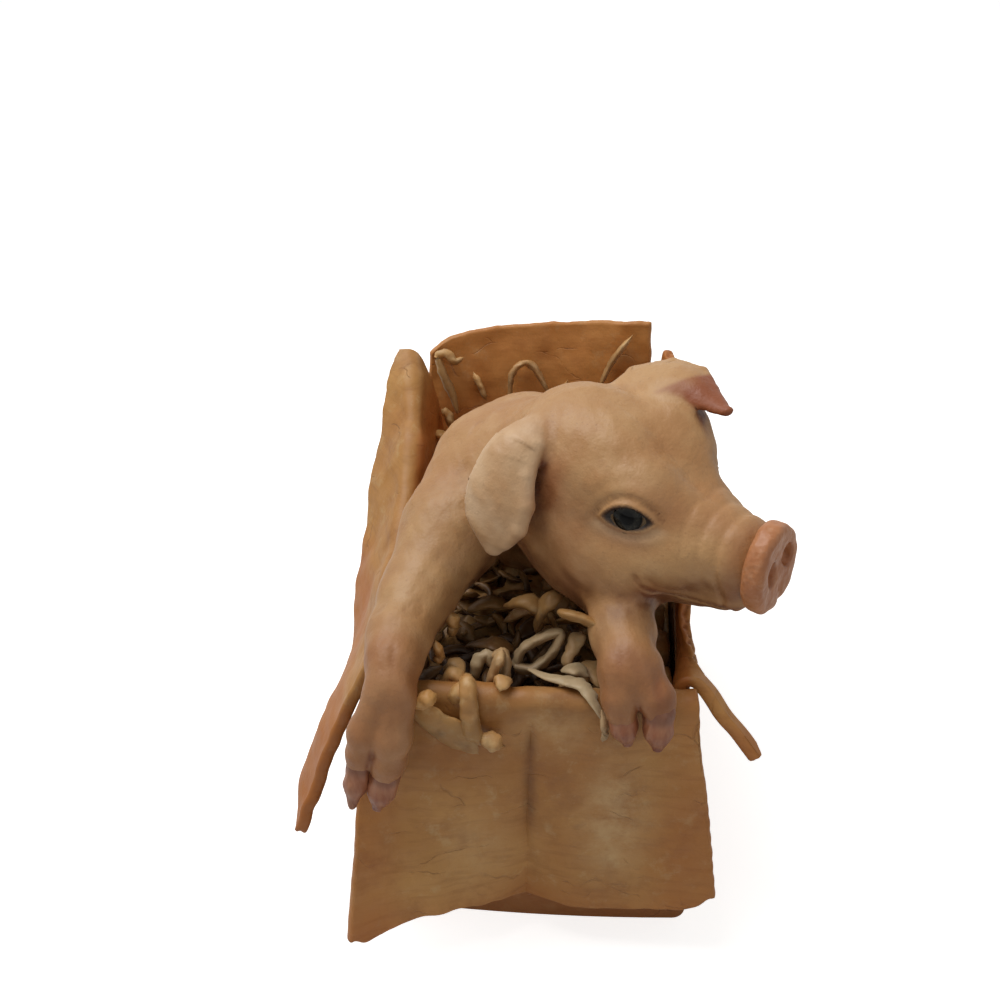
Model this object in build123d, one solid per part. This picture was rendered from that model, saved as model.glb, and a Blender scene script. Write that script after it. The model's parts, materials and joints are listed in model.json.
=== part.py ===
from build123d import *
import os
from math import cos, radians, sin

# Piglet climbing out of an open cardboard carton, a cast and painted ornament.
# Millimetres. The origin is the centre of the underside, +Z is up, and the carton's
# front, with the piglet's forelegs over it, faces -Y. +X is the viewer's right.

# The carton
carton_height = 62.5
rim_width = 60.0
rim_depth = 98.0
width_spread = 9.0
depth_spread = 1.0
board = 2.6
floor_board = 4.2
wall_bulge = 1.4
corner_radius = 3.2

# The four flaps
hinge_gap = 0.5
slot_gap = 0.4
front_flap_length = 52.0
front_flap_width = 62.0
back_flap_length = 23.5
back_flap_rise = 6.0
back_flap_width = 55.0
back_flap_left = 3.4
left_flap_length = 29.0
right_flap_length = 26.0

# The packing the piglet sits in
bed_drop = 7.0
bed_crown = 2.0
bed_clearance = 0.3
curl_radius = 4.4
curl_rod = 2.6
flake_length = 13.0
flake_width = 6.5
flake_thickness = 1.4
flake_belly_share = 0.45
strand_rod = 2.8
sink = 0.8

# Where the piglet stands, measured from the middle of the front rim
shoulder_back = 49.0
shoulder_up = 20.5
torso_radius = 18.0
torso_length = 58.0
seat_gap = 0.3

# The head
skull_right = 11.5
skull_back = 28.0
skull_up = 28.2
head_length = 60.0
head_radius = 20.5
head_turn_deg = 51.0
snout_radius = 8.7
snout_thickness = 5.4
snout_sink = 1.2
snout_tilt_deg = 10.0
snout_roll_deg = 20.0
nostril_spread = 5.8
nostril_width = 3.4
nostril_height = 4.6
nostril_depth = 1.8
eye_radius = 3.6
eye_proud = 1.0
eye_turn_deg = 28.0
ear_width = 16.0
ear_thickness = 2.6

# The forelegs
leg_radius = 6.4
near_leg_left = 25.0
far_leg_right = 19.2
near_paw_drop = 14.0
far_paw_drop = 1.0
claw_length = 8.0
claw_width = 5.8
claw_gap = 0.6

# One overrun serves every cut
overrun = 2.0

rim_z = carton_height
front_y = -rim_depth / 2
back_y = rim_depth / 2
bed_z = rim_z - bed_drop
fold_radius = (board + hinge_gap) / 2


def smooth_rows(rows, steps):
    """Rows of shares with evenly eased rows put between them, so that a form bends softly."""
    eased = []
    for i in range(len(rows) - 1):
        before, start = rows[max(i - 1, 0)], rows[i]
        end, after = rows[i + 1], rows[min(i + 2, len(rows) - 1)]
        for step in range(steps):
            t = step / steps
            row = []
            for a, b, c, d in zip(before, start, end, after):
                bend = (2 * a - 5 * b + 4 * c - d) * t * t + (3 * b - a - 3 * c + d) * t**3
                row.append(b + ((c - a) * t + bend) / 2)
            eased.append(tuple(row))
    eased.append(tuple(rows[-1]))
    return eased


def carton_outline(width, depth, height):
    """Level face: a rectangle whose four sides bow outwards and whose corners are round."""
    half_w, half_d = width / 2, depth / 2
    corners = [(-half_w, -half_d), (half_w, -half_d), (half_w, half_d), (-half_w, half_d)]
    middles = [
        (0, -half_d - wall_bulge),
        (half_w + wall_bulge, 0),
        (0, half_d + wall_bulge),
        (-half_w - wall_bulge, 0),
    ]
    sides = [ThreePointArc(corners[i], middles[i], corners[(i + 1) % 4]) for i in range(4)]
    face = make_face(sides)
    return Pos(0, 0, height) * fillet(face.vertices(), corner_radius)


def carton_block(inset, low, high):
    """The solid between two heights whose sides lie inset inside the carton's outer walls."""

    def at(height):
        share = height / carton_height
        width = rim_width + width_spread * (1 - share) - 2 * inset
        depth = rim_depth + depth_spread * (1 - share) - 2 * inset
        return carton_outline(width, depth, height)

    return loft([at(low), at(high)], ruled=True)


def make_carton():
    return carton_block(0, 0, rim_z) - carton_block(board, floor_board, rim_z + overrun)


def board_section(plane, bends):
    """Cross-section of bent board. It starts at the plane's origin, heading along the plane's y
    axis, and bends is a list of (length, turn in degrees), a positive turn being towards x."""
    heading, x, y = 0.0, 0.0, 0.0
    left, right = [], []
    for length, turn in bends:
        start, bend = heading, radians(turn)
        points = []
        for share in (0.0, 0.5, 1.0):
            angle = start + bend * share
            px = x + length / bend * (cos(start) - cos(angle))
            py = y + length / bend * (sin(angle) - sin(start))
            points.append((px, py, angle))
        for side, edges in ((-board / 2, left), (board / 2, right)):
            rail = [(px + side * cos(a), py - side * sin(a)) for px, py, a in points]
            edges.append(ThreePointArc(*rail))
        x, y, heading = points[2]
    ends = [Line(left[0] @ 0, right[0] @ 0), Line(left[-1] @ 1, right[-1] @ 1)]
    return plane * make_face(left + right + ends)


def fold_length(turn):
    """Length of board in a fold of that many degrees at the rim."""
    return radians(turn) * fold_radius


def side_flap(side, length, shares):
    """A flap along one side wall, lofted from the front slot to the back one."""
    run = rim_depth - 2 * (board + slot_gap)
    hinge_x = side * (rim_width / 2 - board / 2)
    sections = []
    for along, forward, upright, lean, fold, hanging, curl in smooth_rows(shares, 2):
        bow = side * wall_bulge * (1 - (2 * along) ** 2)
        plane = Plane(
            origin=(hinge_x + bow, along * run, rim_z),
            x_dir=(side, 0, 0),
            z_dir=(0, -side * cos(radians(forward)), side * sin(radians(forward))),
        )
        bends = [
            (length * upright, lean),
            (fold_length(fold), fold),
            (length * hanging, curl),
        ]
        sections.append(board_section(plane, bends))
    return loft(sections, ruled=True)


# (place along the wall, forward lean, upright share, upright lean, fold, hanging share, curl)
left_flap_shares = [
    (-0.5, 12, 0.02, 0.5, 151, 1.48, 8),
    (-0.38, 8, 0.02, 0.5, 156, 1.12, 4),
    (-0.18, 3, 0.02, 0.5, 160, 0.84, 4),
    (0.0, 0, 0.1, 2.0, 150, 0.72, 4),
    (0.2, -3, 0.42, 6.0, 138, 0.5, 4),
    (0.36, -5, 0.68, 14.0, 120, 0.28, 4),
    (0.5, -6, 0.92, 24.0, 70, 0.06, 4),
]
right_flap_shares = [
    (-0.5, -4, 0.02, 0.5, 142, 0.76, 6),
    (-0.43, -3, 0.05, -1.0, 104, 0.12, 6),
    (-0.31, 0, 0.22, -4.0, 8, 0.06, 4),
    (-0.05, 0, 0.62, 9.0, 14, 0.2, 4),
    (0.25, 2, 0.75, 5.0, 14, 0.22, 4),
    (0.5, 4, 0.85, -3.0, 10, 0.16, 4),
]

# (place across the flap, flare, belly, length share, sideways fan)
front_flap_left_shares = [
    (-0.5, 17, -1, 1.06, -2.5),
    (-0.36, 12, 1, 1.0, -4.0),
    (-0.14, 10, 7, 0.95, -1.5),
    (0.0, 3, 3, 0.96, 0.0),
]
front_flap_right_shares = [
    (0.0, 3, 3, 0.96, 0.0),
    (0.14, 8, 7, 0.95, 2.0),
    (0.36, 8, 4, 0.93, 5.0),
    (0.5, 9, 2, 0.905, 9.0),
]


def front_flap_section(across, flare, belly, length_share, fan):
    bow = wall_bulge * (1 - (across * front_flap_width / rim_width * 2) ** 2)
    plane = Plane(
        origin=(across * front_flap_width, front_y - bow + board / 2, rim_z),
        x_dir=(0, -1, 0),
        z_dir=(-cos(radians(fan)), 0, -sin(radians(fan))),
    )
    length = front_flap_length * length_share
    bends = [
        (fold_length(180 - flare), 180 - flare),
        (length / 2, belly),
        (length / 2, -belly),
    ]
    return board_section(plane, bends)


def make_front_flap():
    """The flap that hangs down the front: two halves that meet in a valley down the middle."""
    halves = []
    for shares in (front_flap_left_shares, front_flap_right_shares):
        sections = [front_flap_section(*row) for row in smooth_rows(shares, 2)]
        halves.append(loft(sections, ruled=True))
    return halves[0] + halves[1]


def make_back_flap():
    """The flap that stands up at the back, higher on the right than on the left."""
    # (place across the flap, rise share, lean, curl)
    shares = [(-0.5, 0.0, 10, 2), (-0.2, 0.45, 12, 6), (0.15, 0.75, 12, 6), (0.5, 1.0, 9, 2)]
    sections = []
    for across, rise, lean, curl in smooth_rows(shares, 2):
        place = across * back_flap_width - back_flap_left
        bow = wall_bulge * (1 - (place / rim_width * 2) ** 2)
        plane = Plane(
            origin=(place, back_y + bow - board / 2, rim_z), x_dir=(0, 1, 0), z_dir=(1, 0, 0)
        )
        bends = [(board, lean), (back_flap_length + back_flap_rise * rise, curl)]
        sections.append(board_section(plane, bends))
    return loft(sections, ruled=True)


def oval_loft(stations):
    """Solid through ovals. Each station is (centre, axis, across, half across, half high)."""
    sections = []
    for centre, axis, across, half_across, half_high in stations:
        plane = Plane(origin=centre, x_dir=across, z_dir=axis)
        sections.append(plane * Ellipse(half_across, half_high))
    return loft(sections, ruled=True)


def axis_at(centres, i):
    """Direction of a path of points at its point i."""
    return (centres[min(i + 1, len(centres) - 1)] - centres[max(i - 1, 0)]).normalized()


def limb(rows):
    """Limb through rows of (x, y, z, half across, half high), each oval square to the path."""
    centres = [Vector(*row[:3]) for row in rows]
    stations = []
    for i, row in enumerate(rows):
        axis = axis_at(centres, i)
        across = (Vector(1, 0, 0) - axis * axis.X).normalized()
        stations.append((centres[i], axis, across, row[3], row[4]))
    return oval_loft(stations)


def taper(start, end, rows):
    """Turned form through rows of (radius, share of the way from start to end)."""
    run = (end - start).length
    points = [(0, 0)] + [(radius, share * run) for radius, share in rows] + [(0, run)]
    edges = [Line(points[i - 1], points[i]) for i in range(len(points))]
    return Plane(origin=start, z_dir=end - start) * revolve(Plane.XZ * make_face(edges), Axis.Z)


# The piglet's own frame: the shoulders, the skull and the paws follow the front rim
shoulder = Vector(0, front_y + shoulder_back, rim_z + shoulder_up)
skull = Vector(skull_right, front_y + skull_back, rim_z + skull_up)
forward = Vector(sin(radians(head_turn_deg)), -cos(radians(head_turn_deg)), 0)
near = Vector(-cos(radians(head_turn_deg)), -sin(radians(head_turn_deg)), 0)

# (right, back, up, radius): right and up by the torso's length, the radius by its radius, and
# back by its length towards the head and by the room behind the shoulders towards the rump
torso_shares = [
    (0.03, 1.02, -0.78, 0.72),
    (0.02, 0.86, -0.6, 0.95),
    (-0.02, 0.41, -0.22, 0.98),
    (-0.05, 0.0, 0.0, 0.92),
    (0.0, -0.17, 0.1, 0.79),
    (0.1, -0.3, 0.13, 0.76),
]

# (along, rise, half width, half height): along by the head's length, the rest by its radius
head_shares = [
    (-0.33, 0.14, 0.3, 0.34),
    (-0.26, 0.12, 0.6, 0.68),
    (-0.12, 0.09, 0.78, 0.9),
    (0.08, 0.03, 0.82, 0.97),
    (0.26, -0.08, 0.62, 0.8),
    (0.42, -0.08, 0.46, 0.56),
    (0.6, 0.06, 0.4, 0.42),
]
muzzle_share, muzzle_rise_share = head_shares[-1][:2]

# The eye's place: along by the head's length, out and up by its radius
eye_along_share = 0.255
eye_out_share = 0.5
eye_up_share = 0.35

# (along, out, up) of the ears' middle lines, by the head's radius
near_ear_shares = [
    (-0.31, 0.42, 0.75),
    (-0.29, 0.72, 0.69),
    (-0.19, 0.93, 0.45),
    (-0.09, 1.03, 0.16),
    (-0.01, 1.07, -0.2),
]
far_ear_shares = [
    (-0.1, -0.38, 0.72),
    (0.02, -0.55, 0.93),
    (0.25, -0.67, 1.07),
    (0.55, -0.65, 1.07),
    (0.93, -0.57, 1.03),
]
# (width, cup by the width, thickness) from an ear's root to its tip
ear_shares = [
    (0.62, 0.16, 1.25),
    (0.95, 0.14, 1.1),
    (1.0, 0.12, 1.0),
    (0.72, 0.1, 0.85),
    (0.24, 0.06, 0.6),
]

# (half across, half high) of a leg by its radius, from the shoulder to the end of the paw
leg_shares = [
    (1.78, 1.8),
    (1.5, 1.5),
    (1.31, 1.3),
    (1.18, 1.14),
    (1.06, 0.95),
    (1.1, 0.88),
    (0.98, 0.78),
]
# (side, back, up) of a leg's middle line from the shoulder to the rim, by the paw's side, the
# shoulders' distance behind the rim and their height over it
near_leg_path_shares = [(0.42, 0.86, 0.6), (0.58, 0.55, 0.46), (0.7, 0.29, 0.24), (0.86, 0.06, 0.05)]
far_leg_path_shares = [(0.55, 0.88, 0.6), (0.75, 0.51, 0.46), (0.88, 0.27, 0.26), (0.97, 0.06, 0.06)]
# Side of the wrist, the paw and its end, by the paw's side
paw_side_shares = [0.99, 1.05, 1.07]
# (share of the drop, turn in degrees) of the same three about the front fold
near_paw_shares = [(0.0, 55), (0.45, 19), (1.0, 18)]
far_paw_shares = [(0.0, 96), (0.0, 78), (1.0, 58)]


def head_point(along, out, up):
    """Point in the head's frame: along the snout, out towards the near cheek, and up."""
    return skull + forward * along + near * out + Vector(0, 0, up)


def make_torso():
    """Rump, back, shoulders and neck: one tapering form that leans forward out of the packing."""
    behind = rim_depth - shoulder_back - board - torso_radius
    rows = []
    for right, back, rise, size in smooth_rows(torso_shares, 2):
        reach = behind if back > 0 else torso_length
        centre = shoulder + Vector(right * torso_length, back * reach, rise * torso_length)
        rows.append((*centre, torso_radius * size, torso_radius * size))
    return limb(rows)


def make_skull():
    """Skull, cheeks and muzzle, from the nape to the seat of the snout disc."""
    stations = []
    for along, rise, half_width, half_height in smooth_rows(head_shares, 2):
        centre = head_point(along * head_length, 0, rise * head_radius)
        stations.append(
            (centre, forward, near, half_width * head_radius, half_height * head_radius)
        )
    return oval_loft(stations)


def make_eye(side):
    """An eyeball's outer part, standing proud of its socket in the face."""
    middle = head_point(
        eye_along_share * head_length,
        side * (eye_out_share * head_radius + eye_proud - eye_radius),
        eye_up_share * head_radius,
    )
    look = near * side * cos(radians(eye_turn_deg)) + forward * sin(radians(eye_turn_deg))
    # (radius share, share of the way from the back of the socket to the front of the eye)
    shares = [(0.87, 0.0), (1.0, 0.35), (0.91, 0.64), (0.67, 0.86), (0.31, 1.0)]
    back = middle - look * eye_radius / 2
    return taper(back, middle + look * eye_radius, [(eye_radius * a, b) for a, b in shares])


def make_snout():
    """The disc on the end of the muzzle, tipped up, with two nostrils sunk in its face. It
    reaches a little way into the muzzle, which it's cut to."""
    seat = head_point(muzzle_share * head_length - snout_sink, 0, muzzle_rise_share * head_radius)
    tilt, roll = radians(snout_tilt_deg), radians(snout_roll_deg)
    look = forward * cos(tilt) + Vector(0, 0, sin(tilt))
    lift = Vector(0, 0, cos(tilt)) - forward * sin(tilt)
    across = near * cos(roll) - lift * sin(roll)
    shares = [(0.93, 0.0), (1.0, 0.4), (1.0, 0.8), (0.92, 1.0)]
    face = seat + look * snout_thickness
    disc = taper(seat, face, [(snout_radius * a, b) for a, b in shares])
    for side in (-1, 1):
        mouth = face + across * side * nostril_spread / 2
        plane = Plane(origin=mouth - look * nostril_depth, x_dir=across, z_dir=look)
        disc -= extrude(plane * Ellipse(nostril_width / 2, nostril_height / 2), nostril_depth + overrun)
    return disc


def make_ear(path_shares, twist):
    """A cupped leaf from root to tip, whose width turns from the snout's way by the twist."""
    rows = [place + size for place, size in zip(path_shares, ear_shares)]
    eased = smooth_rows(rows, 2)
    centres = [head_point(*[share * head_radius for share in row[:3]]) for row in eased]
    sections = []
    for i, row in enumerate(eased):
        width, cup, thick = row[3:]
        axis = axis_at(centres, i)
        across = forward + near * twist * i / (len(eased) - 1)
        half = ear_width * width / 2
        dip = ear_width * cup
        plane = Plane(origin=centres[i], x_dir=across - axis * across.dot(axis), z_dir=axis)
        outer = ThreePointArc((-half, 0), (0, dip + ear_thickness * thick), (half, 0))
        inner = ThreePointArc((-half, 0), (0, dip), (half, 0))
        sections.append(plane * make_face([outer, inner]))
    return loft(sections, ruled=True)


def paw_seat(radius, down, turn_deg):
    """(y, z) of the middle of a form that rests on the front flap: turned up by the turn about
    the middle of the flap's fold, then moved so far down the flap's face."""
    reach = fold_radius + board / 2 + seat_gap + radius
    turn = radians(turn_deg)
    fold_y = front_y - wall_bulge + board / 2 - fold_radius
    y = fold_y - reach * cos(turn) - down * sin(turn)
    return y, rim_z + reach * sin(turn) - down * cos(turn)


def leg_rows(side_x, path_shares, drop, paw_shares):
    """Rows of a limb from the shoulder over the rim to the end of the paw."""
    sizes = [(leg_radius * across, leg_radius * high) for across, high in leg_shares]
    rest = rim_z + fold_radius + board / 2 + seat_gap + sizes[3][1]
    places = []
    for side, back, up in path_shares:
        places.append((side_x * side, front_y + shoulder_back * back, rest + shoulder_up * up))
    for side, size, (down, turn) in zip(paw_side_shares, sizes[4:], paw_shares):
        places.append((side_x * side, *paw_seat(size[1], down * drop, turn)))
    return smooth_rows([place + size for place, size in zip(places, sizes)], 2)


def make_claws(rows):
    """The two halves of a cloven hoof, side by side on the end of the paw."""
    end = Vector(*rows[-1][:3])
    down = (end - Vector(*rows[-2][:3])).normalized()
    across = (Vector(1, 0, 0) - down * down.X).normalized()
    shares = [(1.0, 0.0), (0.98, 0.4), (0.72, 0.8), (0.4, 1.0)]
    claws = []
    for side in (-1, 1):
        root = end + across * side * (claw_width + claw_gap) / 2
        rows_here = [(claw_width / 2 * a, b) for a, b in shares]
        claws.append(taper(root, root + down * claw_length, rows_here))
    return claws


def make_bed():
    """The packing that fills the carton, a little higher in the middle than at the walls."""
    crown_z = bed_z + bed_crown
    block = carton_block(board + bed_clearance, floor_board, crown_z)
    radius = rim_depth**2 / (8 * bed_crown)
    return block & (Pos(0, 0, crown_z - radius) * Sphere(radius))


def curl(size, arc):
    """Part of a ring of square rod, which starts and ends on the X axis if it is a half."""
    section = Plane.XZ * Pos(curl_radius * size, 0) * Rectangle(curl_rod, curl_rod)
    return revolve(section, Axis.Z, arc)


def flake(size):
    """A leaf-shaped shaving that grows from the origin along X."""
    length, half = flake_length * size, flake_width / 2
    edges = [
        ThreePointArc((0, 0), (length * flake_belly_share, -half), (length, 0)),
        ThreePointArc((length, 0), (length * flake_belly_share, half), (0, 0)),
    ]
    return extrude(make_face(edges), flake_thickness / 2, both=True)


def on_bed(wall_y, right, away, yaw, tilt, roll):
    """Place on the packing, sunk a little into it: right by the rim's width, and away from the
    front or back wall by a flake's length."""
    y = wall_y + away * flake_length
    return Pos(right * rim_width, y, bed_z - sink) * Rot(0, 0, yaw) * Rot(0, -tilt, 0) * Rot(roll, 0, 0)


def make_strand(right, arc, start):
    """A shred that hangs over the front flap's fold."""
    radius = fold_radius + board / 2 + seat_gap + strand_rod / 2
    x = right * rim_width
    fold_y = front_y - wall_bulge * (1 - (2 * right) ** 2) + board / 2 - fold_radius
    section = Plane.XY * Pos(0, radius) * Rectangle(strand_rod, strand_rod)
    return Pos(x, fold_y, rim_z) * Rot(start, 0, 0) * revolve(section, Axis.X, arc)


# (right, away from the wall, yaw, tilt, roll, size, arc)
front_curl_shares = [
    (-0.26, 0.6, 25, 0, 90, 1.5, 180),
    (-0.1, 0.6, -15, 0, 80, 1.7, 180),
    (0.07, 0.9, 20, 10, 50, 1.5, 330),
    (0.16, 0.45, -30, 0, 90, 1.6, 180),
    (0.2, 1.51, 60, 0, 85, 1.3, 170),
    (-0.16, 1.51, 70, 0, 75, 1.5, 180),
    (0.02, 1.96, 0, 0, 95, 1.3, 180),
]
back_curl_shares = [
    (-0.36, -1.21, 20, 0, 90, 1.6, 180),
    (-0.14, -0.75, 0, 0, 80, 1.9, 180),
    (0.12, -1.06, -20, 0, 85, 1.7, 180),
    (0.34, -1.66, 70, 0, 90, 1.3, 180),
]
# (right, away from the wall, yaw, tilt, roll, size)
front_flake_shares = [
    (-0.3, 1.36, 40, 52, 20, 1.1),
    (0, 0.45, 170, 48, 10, 1),
    (0.08, 0.38, 20, 45, -20, 1.1),
    (0.14, 2.26, 190, 34, 25, 1),
    (-0.04, 1.36, 200, 42, 0, 1),
]
back_flake_shares = [
    (-0.24, -0.53, 60, 76, 60, 1.7),
    (0.02, -0.6, 110, 72, 90, 1.6),
    (0.26, -0.6, 80, 74, 90, 2),
    (-0.4, -2.26, 0, 70, 0, 1.2),
]
# (right share, arc, start)
strand_shares = [(-0.2, 130, 55), (-0.11, 100, 80), (0.02, 70, 60), (0.13, 80, 45)]


def touching(one, other):
    """Whether the boxes round two shapes meet."""
    a, b = one.bounding_box(), other.bounding_box()
    return all(
        low <= high
        for low, high in zip((*a.min, *b.min), (*b.max, *a.max))
    )


def main_piece(shape):
    """The largest solid of a cut shape, without the crumbs that a cut can leave."""
    return max(shape.solids(), key=lambda solid: solid.volume)


def settle(pieces, rests):
    """Pieces cut to what they rest on and, in turn, to each other. One with no room is left out."""
    kept = []
    for piece in pieces:
        for rest in rests + kept:
            if touching(piece, rest):
                left = piece - rest
                if not left.solids():
                    break
                piece = main_piece(left)
        else:
            kept.append(piece)
    return kept


def main():
    os.makedirs("parts", exist_ok=True)
    parts = {
        "carton_body": make_carton(),
        "front_flap": make_front_flap(),
        "back_flap": make_back_flap(),
        "left_flap": side_flap(-1, left_flap_length, left_flap_shares),
        "right_flap": side_flap(1, right_flap_length, right_flap_shares),
    }
    torso = make_torso()
    head = make_skull()
    ears = {"right_ear": make_ear(near_ear_shares, 0), "left_ear": make_ear(far_ear_shares, 2.5)}
    legs = {
        "right": leg_rows(-near_leg_left, near_leg_path_shares, near_paw_drop, near_paw_shares),
        "left": leg_rows(far_leg_right, far_leg_path_shares, far_paw_drop, far_paw_shares),
    }
    for name, rows in legs.items():
        parts[f"{name}_foreleg"] = main_piece(limb(rows) - torso - head)
        outer, inner = make_claws(rows)
        parts[f"{name}_outer_claw"] = outer
        parts[f"{name}_inner_claw"] = inner
    for name, ear in ears.items():
        parts[name] = main_piece(ear - head)
    for name, side in (("right_eye", 1), ("left_eye", -1)):
        parts[name] = make_eye(side)
        head -= parts[name]
    bed = make_bed() - torso
    parts["head"] = head
    parts["torso"] = torso - head
    parts["snout_disc"] = main_piece(make_snout() - head)
    parts["packing_bed"] = bed
    groups = {"packing_strands": [make_strand(*row) for row in strand_shares]}
    for end, wall_y, curls, flakes in (
        ("front", front_y, front_curl_shares, front_flake_shares),
        ("back", back_y, back_curl_shares, back_flake_shares),
    ):
        groups[f"packing_curls_{end}"] = [
            on_bed(wall_y, *row[:5]) * curl(*row[5:]) for row in curls
        ]
        groups[f"packing_flakes_{end}"] = [
            on_bed(wall_y, *row[:5]) * flake(*row[5:]) for row in flakes
        ]
    rests = list(parts.values())
    for name, pieces in groups.items():
        settled = settle(pieces, rests)
        parts[name] = Compound(settled)
        rests += settled
    for name, shape in parts.items():
        export_step(shape, f"parts/{name}.step")


main()
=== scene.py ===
import json
from math import cos, pi, radians, sin

import bpy
import numpy as np
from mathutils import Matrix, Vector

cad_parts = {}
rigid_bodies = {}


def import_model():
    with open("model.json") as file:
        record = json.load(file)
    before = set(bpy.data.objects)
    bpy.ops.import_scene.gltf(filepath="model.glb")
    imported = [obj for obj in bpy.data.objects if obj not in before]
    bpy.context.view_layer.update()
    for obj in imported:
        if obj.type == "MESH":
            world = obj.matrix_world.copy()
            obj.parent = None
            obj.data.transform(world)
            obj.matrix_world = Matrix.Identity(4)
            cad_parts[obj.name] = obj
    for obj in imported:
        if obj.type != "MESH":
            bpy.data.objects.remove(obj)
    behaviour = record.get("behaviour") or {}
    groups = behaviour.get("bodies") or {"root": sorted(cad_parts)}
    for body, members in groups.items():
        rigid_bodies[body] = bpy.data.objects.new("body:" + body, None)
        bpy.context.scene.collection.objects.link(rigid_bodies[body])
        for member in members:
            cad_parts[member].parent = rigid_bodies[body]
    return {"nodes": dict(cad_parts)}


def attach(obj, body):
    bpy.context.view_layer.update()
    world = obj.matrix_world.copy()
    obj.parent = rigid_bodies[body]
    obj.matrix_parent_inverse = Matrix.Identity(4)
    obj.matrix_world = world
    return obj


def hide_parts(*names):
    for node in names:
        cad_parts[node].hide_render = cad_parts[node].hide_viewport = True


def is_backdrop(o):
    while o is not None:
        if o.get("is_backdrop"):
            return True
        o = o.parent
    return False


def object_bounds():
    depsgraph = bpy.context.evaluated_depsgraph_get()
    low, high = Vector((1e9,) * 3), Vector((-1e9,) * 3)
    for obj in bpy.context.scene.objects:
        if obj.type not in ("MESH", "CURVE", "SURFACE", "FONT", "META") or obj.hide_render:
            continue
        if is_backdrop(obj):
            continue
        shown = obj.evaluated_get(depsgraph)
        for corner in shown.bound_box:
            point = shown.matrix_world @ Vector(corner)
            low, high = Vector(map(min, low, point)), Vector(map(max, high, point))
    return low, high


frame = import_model()
cad_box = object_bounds()

MM = 0.001

# Sizes shared by the pieces
RIM_Z = 62.5
RIM_WIDTH = 60.0
RIM_DEPTH = 98.0
BOARD = 2.6
HINGE_GAP = 0.5
SLOT_GAP = 0.4
WALL_BULGE = 1.4
FOLD_RADIUS = (BOARD + HINGE_GAP) / 2
BED_Z = 55.5

# Grid cells of the sculpting, and the waves in each ripple
SKIN_CELL = 0.9
SNOUT_CELL = 0.55
HOOF_CELL = 0.5
RIPPLE_WAVES = 7


# Small vector helpers
def vec(*xyz):
    return np.array(xyz, float)


def unit(v):
    return v / (np.linalg.norm(v, axis=-1, keepdims=True) + 1e-12)


def step_up(x, low, high):
    t = np.clip((x - low) / (high - low), 0, 1)
    return t * t * (3 - 2 * t)


def hump(x, width):
    return np.exp(-((x / width) ** 2))


def eased(rows, t):
    """Row of a table at a place t between rows, on a curve through all the rows."""
    rows = np.asarray(rows, float)
    t = np.clip(np.asarray(t, float), 0, len(rows) - 1)
    i = np.minimum(t.astype(int), len(rows) - 2)
    s = (t - i)[..., None]
    a, b = rows[np.maximum(i - 1, 0)], rows[i]
    c, d = rows[i + 1], rows[np.minimum(i + 2, len(rows) - 1)]
    bend = (2 * a - 5 * b + 4 * c - d) * s**2 + (3 * b - a - 3 * c + d) * s**3
    return b + ((c - a) * s + bend) / 2


def ripple(p, size, seed):
    """Soft even bumps between -1 and 1 whose spacing is about the size."""
    rng = np.random.default_rng(seed)
    total = 0
    for _ in range(RIPPLE_WAVES):
        way = unit(rng.normal(size=3)) * 2 * pi / size * rng.uniform(0.6, 1.5)
        total = total + np.sin(p @ way + rng.uniform(0, 2 * pi))
    return total / RIPPLE_WAVES**0.5 / 1.4


# Sculpting kit: every form is a field that is negative inside the clay
FAR_AWAY = 30.0


def join(a, b, soft):
    h = np.clip(0.5 + 0.5 * (b - a) / soft, 0, 1)
    return b + (a - b) * h - soft * h * (1 - h)


def carve(a, b, soft):
    return -join(-a, b, soft)


def ball(p, centre, radii):
    q = p - vec(*centre)
    radii = vec(*radii)
    near = np.linalg.norm(q / radii, axis=-1)
    return near * (near - 1) / (np.linalg.norm(q / radii**2, axis=-1) + 1e-9)


def rod(p, start, end, start_radius, end_radius):
    start, run = vec(*start), vec(*end) - vec(*start)
    t = np.clip((p - start) @ run / (run @ run), 0, 1)
    return np.linalg.norm(p - start - t[..., None] * run, axis=-1) - (
        start_radius + (end_radius - start_radius) * t
    )


def limb(p, rows, soft):
    """Chain of tapered rods through rows of (x, y, z, radius)."""
    shape = rod(p, rows[0][:3], rows[1][:3], rows[0][3], rows[1][3])
    for a, b in zip(rows[1:-1], rows[2:]):
        shape = join(shape, rod(p, a[:3], b[:3], a[3], b[3]), soft)
    return shape


def within(p, low, high, form, *args):
    """A form worked out only inside its box; elsewhere it counts as far away."""
    mask = ((p > vec(*low)) & (p < vec(*high))).all(-1)
    values = np.full(p.shape[:-1], FAR_AWAY)
    if mask.any():
        values[mask] = form(p[mask], *args)
    return values


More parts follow.
